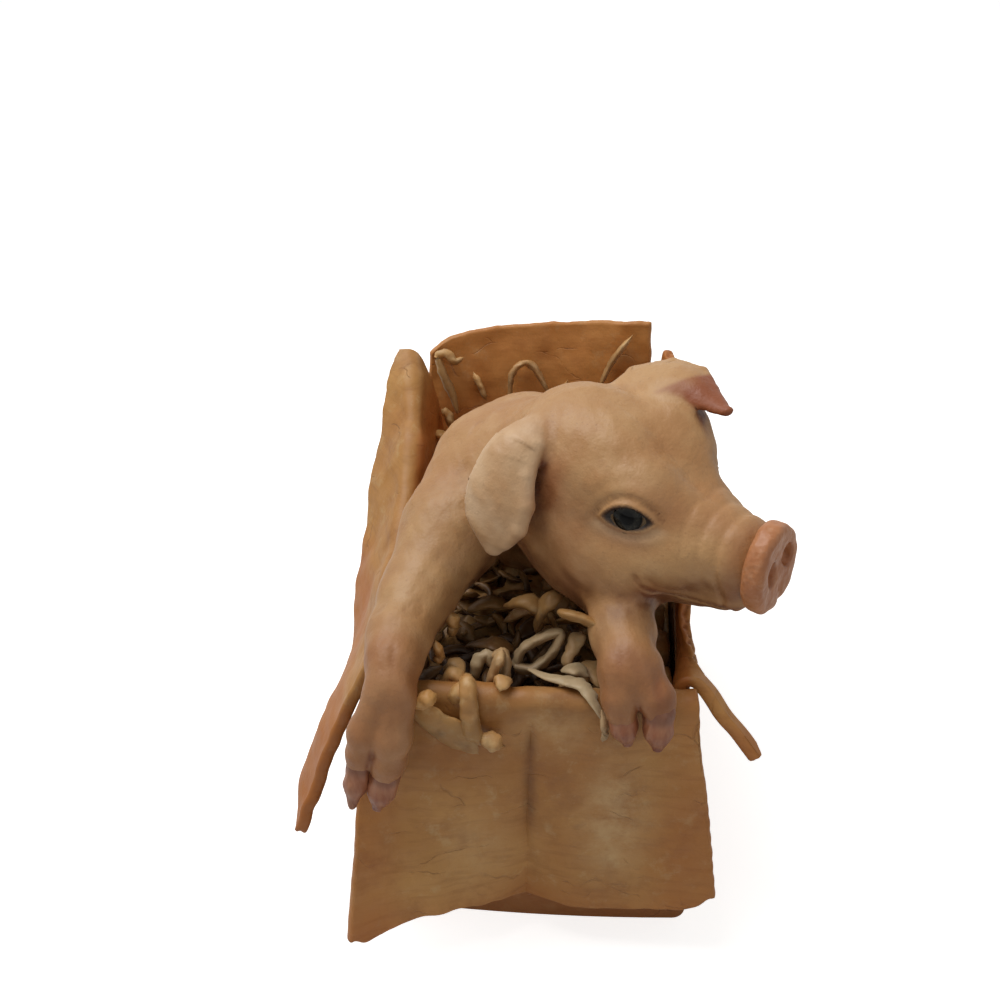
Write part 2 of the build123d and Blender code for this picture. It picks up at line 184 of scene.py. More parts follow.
def leaf(p, rows):
    """Cupped leaf through rows of (x, y, z, half width, half thickness, cup, across x, y, z)."""
    rows = eased(rows, np.linspace(0, len(rows) - 1, 2 * len(rows) - 1))
    best = np.full(p.shape[:-1], 1e9)
    shape = np.full(p.shape[:-1], 1e9)
    for a, b in zip(rows[:-1], rows[1:]):
        run = b[:3] - a[:3]
        t = np.clip((p - a[:3]) @ run / (run @ run), 0, 1)[..., None]
        row = a + (b - a) * t
        off = p - row[..., :3]
        along = unit(run)
        across = unit(row[..., 6:9] - (row[..., 6:9] @ along)[..., None] * along)
        face = np.cross(along, across)
        x = (off * across).sum(-1)
        y = (off * face).sum(-1)
        z = off @ along
        half, thick = row[..., 3], row[..., 4]
        y = y - row[..., 5] * ((x / half) ** 2 - 0.3)
        k0 = np.sqrt((x / half) ** 2 + (y / thick) ** 2 + (z / thick) ** 2)
        k1 = np.sqrt((x / half**2) ** 2 + (y / thick**2) ** 2 + (z / thick**2) ** 2)
        d = k0 * (k0 - 1) / (k1 + 1e-9)
        far = (off**2).sum(-1)
        shape = np.where(far < best, d, shape)
        best = np.minimum(far, best)
    return shape


def fill_grid(field, low, high, cell):
    """Field on a grid, worked out only near the surface, and coarsely elsewhere."""
    wide = 3
    counts = np.ceil((high - low) / cell / wide).astype(int) * wide + 1
    lines = [low[i] + cell * np.arange(counts[i]) for i in range(3)]
    coarse = np.stack(np.meshgrid(*[line[::wide] for line in lines], indexing="ij"), -1)
    rough = field(coarse.reshape(-1, 3)).reshape(coarse.shape[:3])
    near = np.abs(rough) < cell * wide * 1.9
    middle = tuple(slice(wide // 2, wide // 2 + n) for n in counts)
    values, mask = (
        np.repeat(np.repeat(np.repeat(rows, wide, 0), wide, 1), wide, 2)[middle]
        for rows in (rough, near)
    )
    spots = np.argwhere(mask)
    values[mask] = field(low + cell * spots)
    return values


def net(values, low, cell):
    """Closed quad mesh round the inside of a gridded field."""
    inside = values < 0
    n = np.array(values.shape) - 1
    corners = [vec(i, j, k).astype(int) for i in (0, 1) for j in (0, 1) for k in (0, 1)]
    count = sum(
        inside[c[0] : c[0] + n[0], c[1] : c[1] + n[1], c[2] : c[2] + n[2]].astype(int)
        for c in corners
    )
    active = (count > 0) & (count < 8)
    cells = np.argwhere(active)
    number = np.full(active.shape, -1)
    number[active] = np.arange(len(cells))
    total, hits = np.zeros((len(cells), 3)), np.zeros(len(cells))
    for i, a in enumerate(corners):
        for b in corners[i + 1 :]:
            if abs(a - b).sum() == 1:
                va, vb = values[tuple((cells + a).T)], values[tuple((cells + b).T)]
                cross = (va < 0) != (vb < 0)
                t = va[cross] / (va[cross] - vb[cross])
                total[cross] += a + (b - a) * t[:, None]
                hits[cross] += 1
    points = low + cell * (cells + total / hits[:, None])
    faces = []
    for axis in range(3):
        u, v = (axis + 1) % 3, (axis + 2) % 3
        cut = [None] * 3
        cut[axis], cut[u], cut[v] = slice(0, n[axis]), slice(1, n[u]), slice(1, n[v])
        first = inside[tuple(cut)]
        cut[axis] = slice(1, n[axis] + 1)
        second = inside[tuple(cut)]
        spots = np.argwhere(first != second)
        outward = first[tuple(spots.T)]
        spots[:, u] += 1
        spots[:, v] += 1
        eu, ev = np.eye(3, dtype=int)[u], np.eye(3, dtype=int)[v]
        ring = [number[tuple((spots - s).T)] for s in (eu + ev, ev, 0 * eu, eu)]
        quads = np.stack(ring, 1)
        quads[~outward] = quads[~outward][:, ::-1]
        faces.append(quads)
    return points, np.concatenate(faces)


def slope(field, points):
    step = 0.12
    sides = [(field(points + off) - field(points - off)) / (2 * step) for off in np.eye(3) * step]
    return np.stack(sides, 1)


def press(field, points, rounds, limit):
    """Points moved on to the surface of the field."""
    for _ in range(rounds):
        way = slope(field, points)
        push = field(points) / ((way**2).sum(1) + 0.05)
        points = points - way * np.clip(push, -limit, limit)[:, None]
    return points


def edges_of(faces):
    return np.concatenate([faces[:, [i, (i + 1) % 4]] for i in range(4)])


def relax(points, faces, strength=0.5):
    pairs = edges_of(faces)
    total = np.zeros_like(points)
    hits = np.zeros(len(points))
    for a, b in ((0, 1), (1, 0)):
        for axis in range(3):
            total[:, axis] += np.bincount(pairs[:, a], points[pairs[:, b], axis], len(points))
        hits += np.bincount(pairs[:, a], minlength=len(points))
    return points + (total / hits[:, None] - points) * strength


def split_quads(points, faces):
    """Every quad cut into four."""
    pairs = np.sort(edges_of(faces), 1)
    edges, where = np.unique(pairs, axis=0, return_inverse=True)
    where = where.reshape(4, len(faces)) + len(points)
    middle = len(points) + len(edges) + np.arange(len(faces))
    more = np.concatenate([points, points[edges].mean(1), points[faces].mean(1)])
    quads = [
        np.stack([faces[:, i], where[i], middle, where[(i + 3) % 4]], 1) for i in range(4)
    ]
    return more, np.concatenate(quads)


def sculpt(rough, fine, low, high, cell):
    """Mesh of a field: first the plain forms, then the fine detail pressed into it."""
    low, high = vec(*low), vec(*high)
    points, faces = net(fill_grid(rough, low, high, cell), low, cell)
    for _ in range(2):
        points = press(rough, relax(points, faces), 1, cell)
    points, faces = split_quads(points, faces)
    points = press(rough, relax(points, faces, 0.3), 1, cell / 2)
    points = press(fine, points, 2, cell / 2)
    return points, faces


def hollows(field, points, reaches=(0.5, 1.2, 2.6, 5.0)):
    """How deep each point lies in a crease or a hollow, from 0 to about 1."""
    out = unit(slope(field, points))
    depth = 0
    for reach in reaches:
        depth = depth + np.clip(reach - field(points + out * reach), 0, reach) / reach
    return np.clip(depth / len(reaches), 0, 1)


def close_holes(points, faces):
    """Triangles that fan over each open loop of a part of a mesh."""
    pairs = edges_of(faces)
    size = len(points)
    there, times = np.unique(pairs[:, 0] * size + pairs[:, 1], return_counts=True)
    start, end = there // size, there % size
    back = end * size + start
    at = np.minimum(np.searchsorted(there, back), len(there) - 1)
    spare = times - np.where(there[at] == back, times[at], 0)
    after = {}
    for a, b, count in zip(start.tolist(), end.tolist(), spare.tolist()):
        if count > 0:
            after.setdefault(a, []).extend([b] * count)
    fans, centres = [], []
    while after:
        start = next(iter(after))
        loop = [start]
        here = start
        while True:
            choices = after[here]
            following = choices.pop()
            if not choices:
                del after[here]
            if following == start:
                break
            loop.append(following)
            here = following
        middle = size + len(centres)
        centres.append(points[loop].mean(0))
        fans += [(loop[(i + 1) % len(loop)], loop[i], middle) for i in range(len(loop))]
    return np.array(centres).reshape(-1, 3), fans


def smooth_normals(points, faces):
    """Normals at the points of a quad mesh, taken over all its faces."""
    a, b, c, d = (points[faces[:, i]] for i in range(4))
    facing = np.cross(c - a, d - b)
    total = np.zeros_like(points)
    for i in range(4):
        for axis in range(3):
            total[:, axis] += np.bincount(faces[:, i], facing[:, axis], len(points))
    return unit(total)


def smooth_mesh(name, points, faces):
    """Mesh in metres, shaded smooth, from points in millimetres."""
    mesh = bpy.data.meshes.new(name)
    mesh.from_pydata((np.asarray(points) * MM).tolist(), [], faces)
    mesh.polygons.foreach_set("use_smooth", [True] * len(faces))
    return mesh


def set_mark(mesh, label, values):
    """A number for every point of a mesh, which the finishes read by its name."""
    layer = mesh.attributes.new(label, "FLOAT", "POINT")
    layer.data.foreach_set("value", np.asarray(values, np.float32))


def points_of(mesh):
    """The mesh's points in millimetres."""
    places = np.zeros(len(mesh.vertices) * 3, np.float32)
    mesh.vertices.foreach_get("co", places)
    return places.reshape(-1, 3) / MM


def in_scene(name, data):
    item = bpy.data.objects.new(name, data)
    bpy.context.scene.collection.objects.link(item)
    return item


def make_piece(name, points, faces, material, node, marks, normals=None):
    """A finished piece from millimetre points. The normals, where given, are kept on the quads, so
    that a divided surface shades as one."""
    faces = [tuple(map(int, face)) for face in faces]
    mesh = smooth_mesh(name, points, faces)
    for label, values in marks.items():
        set_mark(mesh, label, values)
    mesh.materials.append(material)
    mesh.update()
    if normals is not None:
        flat = (0.0, 0.0, 0.0)
        corners = [
            normals[i].tolist() if len(face) == 4 else flat for face in faces for i in face
        ]
        mesh.normals_split_custom_set(corners)
    piece = in_scene(name, mesh)
    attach(piece, "root")
    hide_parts(node)


# The piglet's own frame: a runs along the snout, o out to the near cheek, z up from the skull
SKULL = vec(11.5, -21.0, RIM_Z + 28.2)
TURN = radians(51)
FORWARD = vec(sin(TURN), -cos(TURN), 0)
NEAR = vec(-cos(TURN), -sin(TURN), 0)
HEAD_AXES = np.array([FORWARD, NEAR, vec(0, 0, 1)])


def to_head(p):
    return (p - SKULL) @ HEAD_AXES.T


def from_head(q):
    return SKULL + np.asarray(q, float) @ HEAD_AXES


EYE = vec(15.4, 11.2, 7.0)
EYE_ALONG = unit(vec(9.4, -3.2, 1.1))
EYE_OUT = unit(np.cross(vec(-0.15, -0.16, 1.0), EYE_ALONG))
EYE_UP = np.cross(EYE_ALONG, EYE_OUT)
EYE_RADIUS = 6.0
EYE_CENTRE = EYE - EYE_OUT * 5.1
LID_LENGTH = 4.5
LID_HEIGHT = 2.15
LID_BEND = 0.018


def mirrored(q):
    return np.stack([q[..., 0], np.abs(q[..., 1]), q[..., 2]], -1)


def head_form(q):
    """Cranium, forehead, cheeks, muzzle and jaw."""
    m = mirrored(q)
    d = ball(q, (-3.5, 0, 3), (17, 16, 18.6))
    for soft, more in (
        (4, ball(m, (4.5, 2.6, 8.6), (12.6, 10.4, 11.4))),
        (5, ball(m, (4, 7.5, -6.5), (14.5, 9.6, 12.3))),
        (5, rod(q, (12, 0, -0.5), (31, 0, 1), 11, 7.8)),
        (4, rod(q, (10, 0, -8.8), (31.5, 0, -6.2), 9.2, 4.7)),
        (5, ball(m, (12.4, 8, 8.8), (6.6, 4.4, 4.2))),
        (4, ball(m, (18, 8, -2), (8, 4.4, 5.5))),
        (4, rod(m, (15, 3.6, 8.4), (25, 3.2, 2), 6.6, 5.4)),
        (3, ball(m, (15, 10.2, -6.5), (4.5, 3.3, 4.5))),
        (4, ball(q, (10.2, -8.6, 12), (8.2, 7.2, 7.2))),
        (4, ball(q, (7.5, -10.8, 16), (6.5, 5, 4.8))),
    ):
        d = join(d, more, soft)
    return d


def lids(q):
    """(along, up, out, distance from the eye's almond opening) at the nearer eye."""
    off = mirrored(q) - EYE
    t, v, w = off @ EYE_ALONG, off @ EYE_UP, off @ EYE_OUT
    v = v + LID_BEND * t**2
    radius = (LID_LENGTH**2 + LID_HEIGHT**2) / (2 * LID_HEIGHT)
    drop = radius - LID_HEIGHT
    almond = np.maximum(np.hypot(t, v + drop), np.hypot(t, v - drop)) - radius
    return t, v, w, almond


# (along, up) of the mouth line from its corner to the snout
MOUTH = np.array(
    [(19.4, -4.6), (20.4, -6.2), (22.2, -7.6), (25.6, -8.6), (30, -8.9), (34, -8.6), (38, -8)]
)


def face_detail(p, d):
    """Lids, mouth, nose creases and folds pressed into the head."""
    q = to_head(p)
    mask = (q[:, 0] > 2) & (np.abs(q[:, 1]) < 24) & (np.abs(q[:, 2]) < 26)
    worked = d.copy()
    worked[mask] = face_lines(q[mask], d[mask])
    return worked


def face_lines(q, d):
    m = mirrored(q)
    t, v, w, almond = lids(q)
    here = step_up(w, -5, -1) * step_up(-np.abs(t), -9.5, -6.0)
    upper, lower = step_up(v, -0.4, 0.8), step_up(-v, -0.4, 0.8)
    d = d + 0.3 * hump(np.maximum(almond - 3.6, 0), 1.8) * here
    d = d - here * hump(almond - 0.5, 0.5) * (0.5 * upper + 0.35 * lower)
    d = d + here * hump(almond - 1.9, 0.5) * (0.4 * upper + 0.18 * lower)
    d = d - here * hump(almond - 3.5, 1.0) * 0.2 * upper
    bed = np.linalg.norm(m - EYE_CENTRE, axis=-1)
    d = np.where(w > -5, carve(d, np.maximum(almond, EYE_RADIUS - 0.3 - bed), 0.2), d)
    line = np.interp(m[..., 0], MOUTH[:, 0], MOUTH[:, 1])
    along = step_up(m[..., 0], 18.6, 20.4) * step_up(m[..., 1], 0.5, 3.0)
    off = m[..., 2] - line
    lips = 0.25 * hump(off - 1.3, 1.0) + 0.12 * hump(off + 1.3, 0.9)
    d = d + along * (0.5 * hump(off, 0.45) - lips)
    corner = np.linalg.norm((m - vec(19.2, 12.0, -4.4)) * vec(1, 0.3, 0.8), axis=-1)
    d = d + 0.3 * hump(corner, 0.8)
    front, out, up = m[..., 0], m[..., 1], m[..., 2]
    around = step_up(front, 24, 27)
    d = d + around * 0.35 * hump(front - 32.2 + 0.12 * up, 0.7)
    d = d + 0.22 * hump(front - 29.4 + 0.2 * up, 0.6) * step_up(up, 0, 4)
    d = d + 0.16 * hump(front - 26.8 + 0.25 * up, 0.5) * step_up(up, 2, 6)
    cheek = np.hypot((front - 12.5) * 0.9, up + 1.0)
    return d + 0.1 * hump(cheek - 9.5, 1.6) * step_up(-up, 0, 4) * step_up(out, 8, 12)


NEAR_EAR = [
    # (a, o, z, half width, half thickness, cup, across a, o, z)
    (-7.6, 8.5, 15.2, 3.6, 3.0, 0.3, 0.95, -0.3, 0.1),
    (-8.2, 15.2, 14.6, 5.0, 2.4, 0.5, 0.95, -0.25, 0.1),
    (-8.0, 19.4, 10.4, 6.2, 1.8, 0.8, 0.95, -0.25, 0.05),
    (-7.0, 22.0, 5.8, 6.9, 1.5, 0.9, 0.95, -0.25, 0.0),
    (-6.6, 23.2, 1.4, 6.2, 1.35, 0.8, 0.95, -0.25, 0.0),
    (-6.4, 23.6, -2.4, 3.9, 1.15, 0.5, 0.95, -0.2, 0.0),
    (-6.4, 23.6, -4.6, 1.9, 0.95, 0.2, 0.95, -0.2, 0.0),
]
FAR_EAR = [
    (-2.6, -7.6, 15.0, 5.4, 2.4, -0.4, 1.0, 0.2, 0.0),
    (-0.4, -11.0, 18.8, 7.0, 1.9, -1.2, 1.0, 0.5, 0.0),
    (3.6, -13.4, 21.4, 7.4, 1.5, -1.8, 0.8, 1.1, -0.1),
    (8.6, -13.8, 22.2, 6.0, 1.25, -1.6, 0.4, 1.5, -0.3),
    (13.0, -13.0, 21.6, 3.5, 1.1, -1.0, 0.15, 1.6, -0.3),
    (17.2, -12.0, 20.8, 1.9, 0.95, -0.4, 0.1, 1.6, -0.2),
    (19.8, -11.4, 21.2, 1.1, 0.8, -0.2, 0.1, 1.6, -0.2),
]


def rolled_leaf(q, rows):
    """A leaf with a thick rolled rim along its front edge."""
    rim = []
    for row in rows[1:-1]:
        across = unit(vec(*row[6:9]))
        edge = vec(*row[:3]) + across * (row[3] - 1.2) - vec(0, 0.6 * row[5], 0)
        rim.append((*edge, 1.5 if row[3] > 4 else 1.0))
    return join(leaf(q, rows), limb(q, rim, 0.6), 1.0)


def hemmed_leaf(q, rows):
    """A leaf with a soft round hem along its back edge."""
    hem = []
    for before, row, after in zip(rows[:-2], rows[1:-1], rows[2:]):
        along = unit(vec(*after[:3]) - vec(*before[:3]))
        across = unit(vec(*row[6:9]) - (vec(*row[6:9]) @ along) * along)
        reach = row[3] - 0.8
        sag = row[5] * ((reach / row[3]) ** 2 - 0.3)
        hem.append((*(vec(*row[:3]) - across * reach + np.cross(along, across) * sag), 1.0))
    return join(leaf(q, rows), limb(q, hem, 0.6), 0.8)


# (x, y, z, radius) along the back, from the packing to the nape
BACK_LINE = [
    (1.7, 29.0, 37.8, 13.0),
    (1.2, 24.4, 48.2, 17.4),
    (-1.0, 12.0, 70.0, 17.6),
    (-3.0, 2.0, 82.0, 15.2),
    (0.0, -9.0, 88.5, 13.4),
    (6.0, -16.0, 90.5, 13.6),
]


def torso_form(p):
    d = limb(p, BACK_LINE, 6.0)
    d = join(d, ball(p, (-9.5, -3.0, 84.0), (9.0, 11.0, 11.0)), 4.0)
    return join(d, ball(p, (8.0, -3.0, 84.0), (10.0, 12.0, 11.5)), 5.0)


# (x, y, z, radius) down each foreleg, then from the wrist to the end of each toe
NEAR_LEG = [
    (-11.6, -5.0, 85.0, 12.2),
    (-18.0, -19.0, 79.0, 10.2),
    (-23.6, -34.0, 73.2, 7.3),
    (-25.6, -44.5, 71.6, 5.9),
    (-25.8, -51.0, 71.0, 4.9),
    (-25.6, -55.0, 69.6, 4.3),
]
NEAR_TOES = [
    [
        (-27.2, -56.8, 67.4, 3.6),
        (-30.2, -59.4, 60.8, 3.1),
        (-31.2, -60.2, 56.4, 2.7),
        (-31.6, -60.5, 53.6, 2.2),
    ],
    [
        (-24.4, -56.8, 67.4, 3.7),
        (-25.2, -59.6, 60.2, 3.6),
        (-26.0, -60.6, 54.8, 3.2),
        (-26.6, -60.8, 51.6, 2.6),
    ],
]
FAR_LEG = [
    (11.5, -6.0, 84.0, 10.5),
    (14.8, -22.0, 79.0, 7.4),
    (16.4, -33.0, 75.4, 5.8),
    (16.6, -43.0, 74.6, 5.8),
    (17.8, -51.0, 73.0, 5.8),
]
FAR_TOES = [
    [(16.7, -52.5, 71.6, 3.9), (16.4, -55.2, 69.0, 3.3), (16.7, -56.2, 66.2, 2.8)],
    [(20.2, -52.5, 71.6, 3.9), (22.8, -55.2, 69.2, 3.4), (23.5, -56.2, 66.2, 2.8)],
]


def leg_form(p, rows, toes):
    feet = join(limb(p, toes[0], 1.5), limb(p, toes[1], 1.5), 0.7)
    return join(limb(p, rows, 2.5), feet, 2.4)


SKIN_NODES = ("head", "torso", "right_foreleg", "left_foreleg", "right_ear", "left_ear")


def skin_forms(p):
    """The distance to each part of the piglet, in the order of SKIN_NODES."""
    q = to_head(p)
    return [
        within(q, (-28, -26, -28), (46, 26, 30), head_form),
        within(p, (-30, -40, 0), (36, 60, 120), torso_form),
        within(p, (-44, -74, 40), (6, 14, 106), leg_form, NEAR_LEG, NEAR_TOES),
        within(p, (-4, -70, 52), (36, 14, 104), leg_form, FAR_LEG, FAR_TOES),
        within(q, (-24, 0, -16), (14, 34, 26), rolled_leaf, NEAR_EAR),
        within(q, (-18, -28, 4), (32, 0, 36), hemmed_leaf, FAR_EAR),
    ]


def plain_skin(p):
    head, torso, near_leg, far_leg, near_ear, far_ear = skin_forms(p)
    body = join(torso, join(near_leg, far_leg, 1.0), 6.0)
    body = join(body, head, 4.5)
    root = step_up(to_head(p)[..., 2], 9.0, 14.0)
    return join(join(body, near_ear, 0.5 + 2.0 * root), far_ear, 1.6)


def fine_skin(p):
    """The whole skin with lids, mouth, tendons, wrinkles and an uneven hand-worked surface."""
    d = face_detail(p, plain_skin(p))
    q = to_head(p)
    calm = step_up(lids(q)[3], 0.5, 3.5)
    d = d + calm * (0.16 * ripple(p, 9.0, 1) + 0.06 * ripple(p, 3.6, 2))
    body = step_up(-q[..., 0], 4, 14)
    folds = ripple(p * vec(1.0, 0.45, 0.8), 4.6, 3)
    d = d + body * 0.22 * np.clip(folds, 0, 1) ** 2
    leg = step_up(-p[..., 2], -84, -74) * step_up(-p[..., 1], 20, 40)
    tendons = ripple(p * vec(1.0, 0.22, 0.22), 2.8, 4)
    hand = step_up(-p[..., 1], 50, 56)
    return d + (0.16 * leg + 0.16 * hand) * np.clip(tendons, 0, 1.2) ** 2


# Materials: helpers first, then one for each finish on the ornament
def srgb(r, g, b):
    shares = (c / 255 for c in (r, g, b))
    return tuple(
        c / 12.92 if c < 10 / 255 else ((c + 0.055) / 1.055) ** 2.4 for c in shares
    ) + (1,)


def add_node(tree, kind, settings=None, **inputs):
    """A node, with its inputs given by name, or by number as i0, i1 and so on."""
    node = tree.nodes.new(kind)
    for key, value in (settings or {}).items():
        setattr(node, key, value)
    for key, value in inputs.items():
        numbered = key[0] == "i" and key[1:].isdigit()
        socket = node.inputs[int(key[1:]) if numbered else key.replace("_", " ")]
        if isinstance(value, bpy.types.NodeSocket):
            tree.links.new(value, socket)
        else:
            socket.default_value = value
    return node


class Finish:
    """A painted finish: a first coat of a colour, with patterns laid over it one by one."""

    def __init__(self, name, colour, roughness, coat=0.0, gloss=0.35):
        self.material = bpy.data.materials.new(name)
        self.material.use_nodes = True
        self.tree = self.material.node_tree
        self.shader = self.tree.nodes["Principled BSDF"]
        for key, value in (
            ("Roughness", roughness),
            ("Specular IOR Level", gloss),
            ("Coat Weight", coat),
            ("Coat Roughness", 0.3),
        ):
            self.shader.inputs[key].default_value = value
        self.place = self.tree.nodes.new("ShaderNodeTexCoord").outputs["Object"]
        self.tone = srgb(*colour)

    def node(self, kind, settings=None, **inputs):
        return add_node(self.tree, kind, settings, **inputs)

    def stretched(self, scale, turn=(0, 0, 0), place=None):
        """Places drawn out, for a pattern that runs one way."""
        place = place or self.place
        return self.node("ShaderNodeMapping", Vector=place, Scale=scale, Rotation=turn).outputs[0]

    def noise(self, size_mm, detail=4.0, roughness=0.55, place=None):
        return self.node(
            "ShaderNodeTexNoise", Vector=place or self.place, Scale=1000.0 / size_mm,
            Detail=detail, Roughness=roughness,
        ).outputs["Fac"]

    def cells(self, size_mm, feature, place=None):
        return self.node(
            "ShaderNodeTexVoronoi", {"feature": feature}, Vector=place or self.place,
            Scale=1000.0 / size_mm,
        ).outputs["Distance"]

    def mark(self, name):
        return self.node("ShaderNodeAttribute", {"attribute_name": name}).outputs["Fac"]

    def span(self, value, low, high, start=0.0, end=1.0):
        """The value's run from low to high, turned into one from start to end."""
        return self.node(
            "ShaderNodeMapRange", Value=value, From_Min=low, From_Max=high, To_Min=start, To_Max=end
        ).outputs[0]

    def add(self, a, b):
        return self.node("ShaderNodeMath", {"operation": "ADD"}, i0=a, i1=b).outputs[0]

    def times(self, a, b):
        return self.node("ShaderNodeMath", {"operation": "MULTIPLY"}, i0=a, i1=b).outputs[0]

    def uneven(self, value, size_mm, least, most):
        """The value thinned and thickened by a cloudy noise."""
        return self.times(value, self.span(self.noise(size_mm), 0.3, 0.7, least, most))

    def over(self, share, colour):
        """A colour laid over the finish so far, as thickly as the share says."""
        self.tone = self.node(
            "ShaderNodeMix", {"data_type": "RGBA"}, i0=share, i6=self.tone, i7=srgb(*colour)
        ).outputs[2]

    def patches(self, colour, size_mm, detail, low, high, most=1.0, roughness=0.55, place=None):
        """Cloudy patches of a colour, which begin at low in the noise and are full at high."""
        cloud = self.noise(size_mm, detail, roughness, place)
        self.over(self.span(cloud, low, high, 0, most), colour)

    def done(self, relief=None, depth_mm=0.0, strength=0.0, roughness=None):
        """The material, with its relief and its changing roughness where it has them."""
        found = {"Base Color": self.tone, "Roughness": roughness}
        if relief:
            found["Normal"] = self.node(
                "ShaderNodeBump", Strength=strength, Distance=depth_mm * MM, Height=relief
            ).outputs[0]
        for key, value in found.items():
            if value:
                self.tree.links.new(value, self.shader.inputs[key])
        return self.material


def skin_finish(name, base, warm, pale):
    f = Finish(name, base, 0.46, 0.06)
    f.patches(warm, 26, 3, 0.35, 0.68)
    f.patches(pale, 9, 4, 0.45, 0.72, 0.55)
    f.patches(warm, 1.6, 3, 0.52, 0.75, 0.3)
    f.patches((120, 84, 60), 0.7, 2, 0.62, 0.75, 0.22)
    # Painted shade: a darker brown in the skin's creases and hollows
    f.over(f.uneven(f.span(f.mark("hollow"), 0.14, 0.62), 3.2, 0.55, 1.25), (104, 62, 36))
    # Painted shade under the head, along the jaw and on the forelegs
    f.over(f.uneven(f.mark("shade"), 5, 0.7, 1.15), (112, 68, 42))
    # Blush: red inside the far ear, a tint on the paws, blotches, and painted shadow in front of
    # the near ear
    f.over(f.mark("blush"), (138, 72, 38))
    # Pallor: pale paint under the eyes, and painted light over the near ear
    f.over(f.mark("pallor"), (226, 196, 160))
    f.over(f.mark("ink"), (38, 27, 22))
    lines = f.noise(2.4, 5, 0.6, f.stretched((1, 0.35, 1), (0.4, 0.2, 0.6)))
    relief = f.add(lines, f.noise(0.9, 3))
    return f.done(relief, 0.22, 0.6, f.span(f.noise(4, 3), 0.3, 0.7, 0.4, 0.56))


def card_finish(name, light, deep, shade):
    f = Finish(name, light, 0.52, 0.05)
    f.patches(deep, 34, 4, 0.36, 0.66, 1, 0.6)
    f.patches(shade, 11, 5, 0.5, 0.72, 0.6, 0.65)
    f.patches((200, 172, 124), 5, 5, 0.56, 0.74, 0.45, 0.7)
    f.patches(shade, 2.2, 4, 0.5, 0.72, 0.35, 0.6, f.stretched((0.22, 0.22, 1.6)))
    # Hair cracks: the seams between wandering cells, broken off by a noise
    wander = f.node("ShaderNodeTexNoise", Vector=f.place, Scale=1000.0 / 6, Detail=2.0)
    pushed = f.node(
        "ShaderNodeVectorMath", {"operation": "MULTIPLY_ADD"},
        i0=wander.outputs["Color"], i1=(0.006, 0.006, 0.006), i2=f.place,
    )
    seams = f.cells(17, "DISTANCE_TO_EDGE", f.stretched((0.6, 0.6, 1.7), place=pushed.outputs[0]))
    cracks = f.times(f.span(seams, 0.0, 0.014, 1, 0), f.span(f.noise(8, 3), 0.52, 0.62))
    f.over(f.times(cracks, 0.3), (96, 58, 30))
    # Painted highlights: pale patches on the front flap
    chalk = f.times(f.mark("chalk"), f.span(f.noise(6, 5, 0.65), 0.35, 0.65, 0.2, 1.2))
    f.over(chalk, (212, 182, 136))
    # Painted shade: a darker brown in the flutes, folds, creases and towards the foot
    f.over(f.uneven(f.mark("hollow"), 4, 0.7, 1.2), (92, 52, 24))
    # glow: painted shade, a darker warm orange on the card's inner faces, hanging parts and lower
    # parts
    f.over(f.mark("glow"), (170, 96, 38))
    relief = f.add(f.noise(3.4, 5, 0.6), f.times(cracks, -0.7))
    return f.done(relief, 0.35, 0.7, f.span(f.noise(6, 3), 0.3, 0.7, 0.44, 0.62))


def straw_finish(name, light, deep):
    f = Finish(name, light, 0.5, 0.08)
    f.patches(deep, 14, 3, 0.36, 0.66)
    f.patches((212, 180, 128), 2.4, 4, 0.5, 0.72, 0.6)
    f.patches((122, 92, 58), 4.5, 4, 0.55, 0.75, 0.55)
    # Paler shavings
    f.over(f.mark("chalk"), (186, 170, 138))
    # Painted shade: dark brown deep in the heap, before the chest and on the shaded shavings
    f.over(f.mark("hollow"), (58, 34, 15))
    return f.done(f.noise(1.5), 0.3, 0.6)


def hoof_finish(name):
    f = Finish(name, (160, 100, 68), 0.4, 0.15)
    f.over(f.span(f.mark("tip"), 0.1, 0.9), (116, 60, 38))
    grown = f.stretched((1, 1, 0.3))
    f.patches((190, 138, 102), 1.8, 4, 0.42, 0.7, 0.5, place=grown)
    f.over(f.mark("hollow"), (66, 28, 20))
    return f.done(f.noise(1.0, 3, place=grown), 0.2, 0.5)


def snout_finish(name):
    f = Finish(name, (186, 124, 80), 0.42, 0.12)
    f.patches((164, 100, 60), 7, 3, 0.36, 0.66)
    f.patches((196, 146, 110), 1.1, 3, 0.5, 0.72, 0.5)
    # Painted shade in the nostrils and grooves
    f.over(f.mark("hollow"), (96, 44, 34))
    return f.done(f.add(f.cells(1.1, "F1"), f.noise(2.5)), 0.22, 0.6)


def eye_finish(name):
    """White, rim, iris with its streaks and pupil, by the angle from the pupil's middle."""
    # The white is painted a dark brownish grey, as shade in the eye's corners
    f = Finish(name, (120, 98, 72), 0.12, gloss=0.14)
    ring = f.mark("ring")
    f.over(f.span(ring, 0.52, 0.75), (160, 138, 108))
    f.over(f.span(ring, 0.46, 0.51, 1, 0), (14, 12, 10))
    f.over(f.span(ring, 0.38, 0.43, 1, 0), (32, 31, 28))
    streak = f.times(f.span(f.noise(0.5, 3), 0.4, 0.7, 0, 0.6), f.span(ring, 0.24, 0.32))
    f.over(f.times(streak, f.span(ring, 0.36, 0.42, 1, 0)), (74, 72, 62))
    f.over(f.span(ring, 0.2, 0.25, 1, 0), (4, 4, 5))
    return f.done()


SKIN = skin_finish("painted_skin", (187, 144, 96), (172, 122, 76), (202, 164, 118))
CARD = card_finish("painted_card", (186, 137, 77), (162, 108, 52), (132, 82, 38))
CARD_BACK = card_finish("painted_card_back", (200, 144, 80), (184, 122, 58), (146, 90, 38))
CARD_BODY = card_finish("painted_card_walls", (168, 130, 86), (150, 110, 66), (124, 84, 46))
STRAW = straw_finish("painted_shavings", (200, 152, 90), (172, 122, 66))
HOOF = hoof_finish("painted_hoof")
SNOUT = snout_finish("painted_snout")
EYEBALL = eye_finish("glossy_eye")


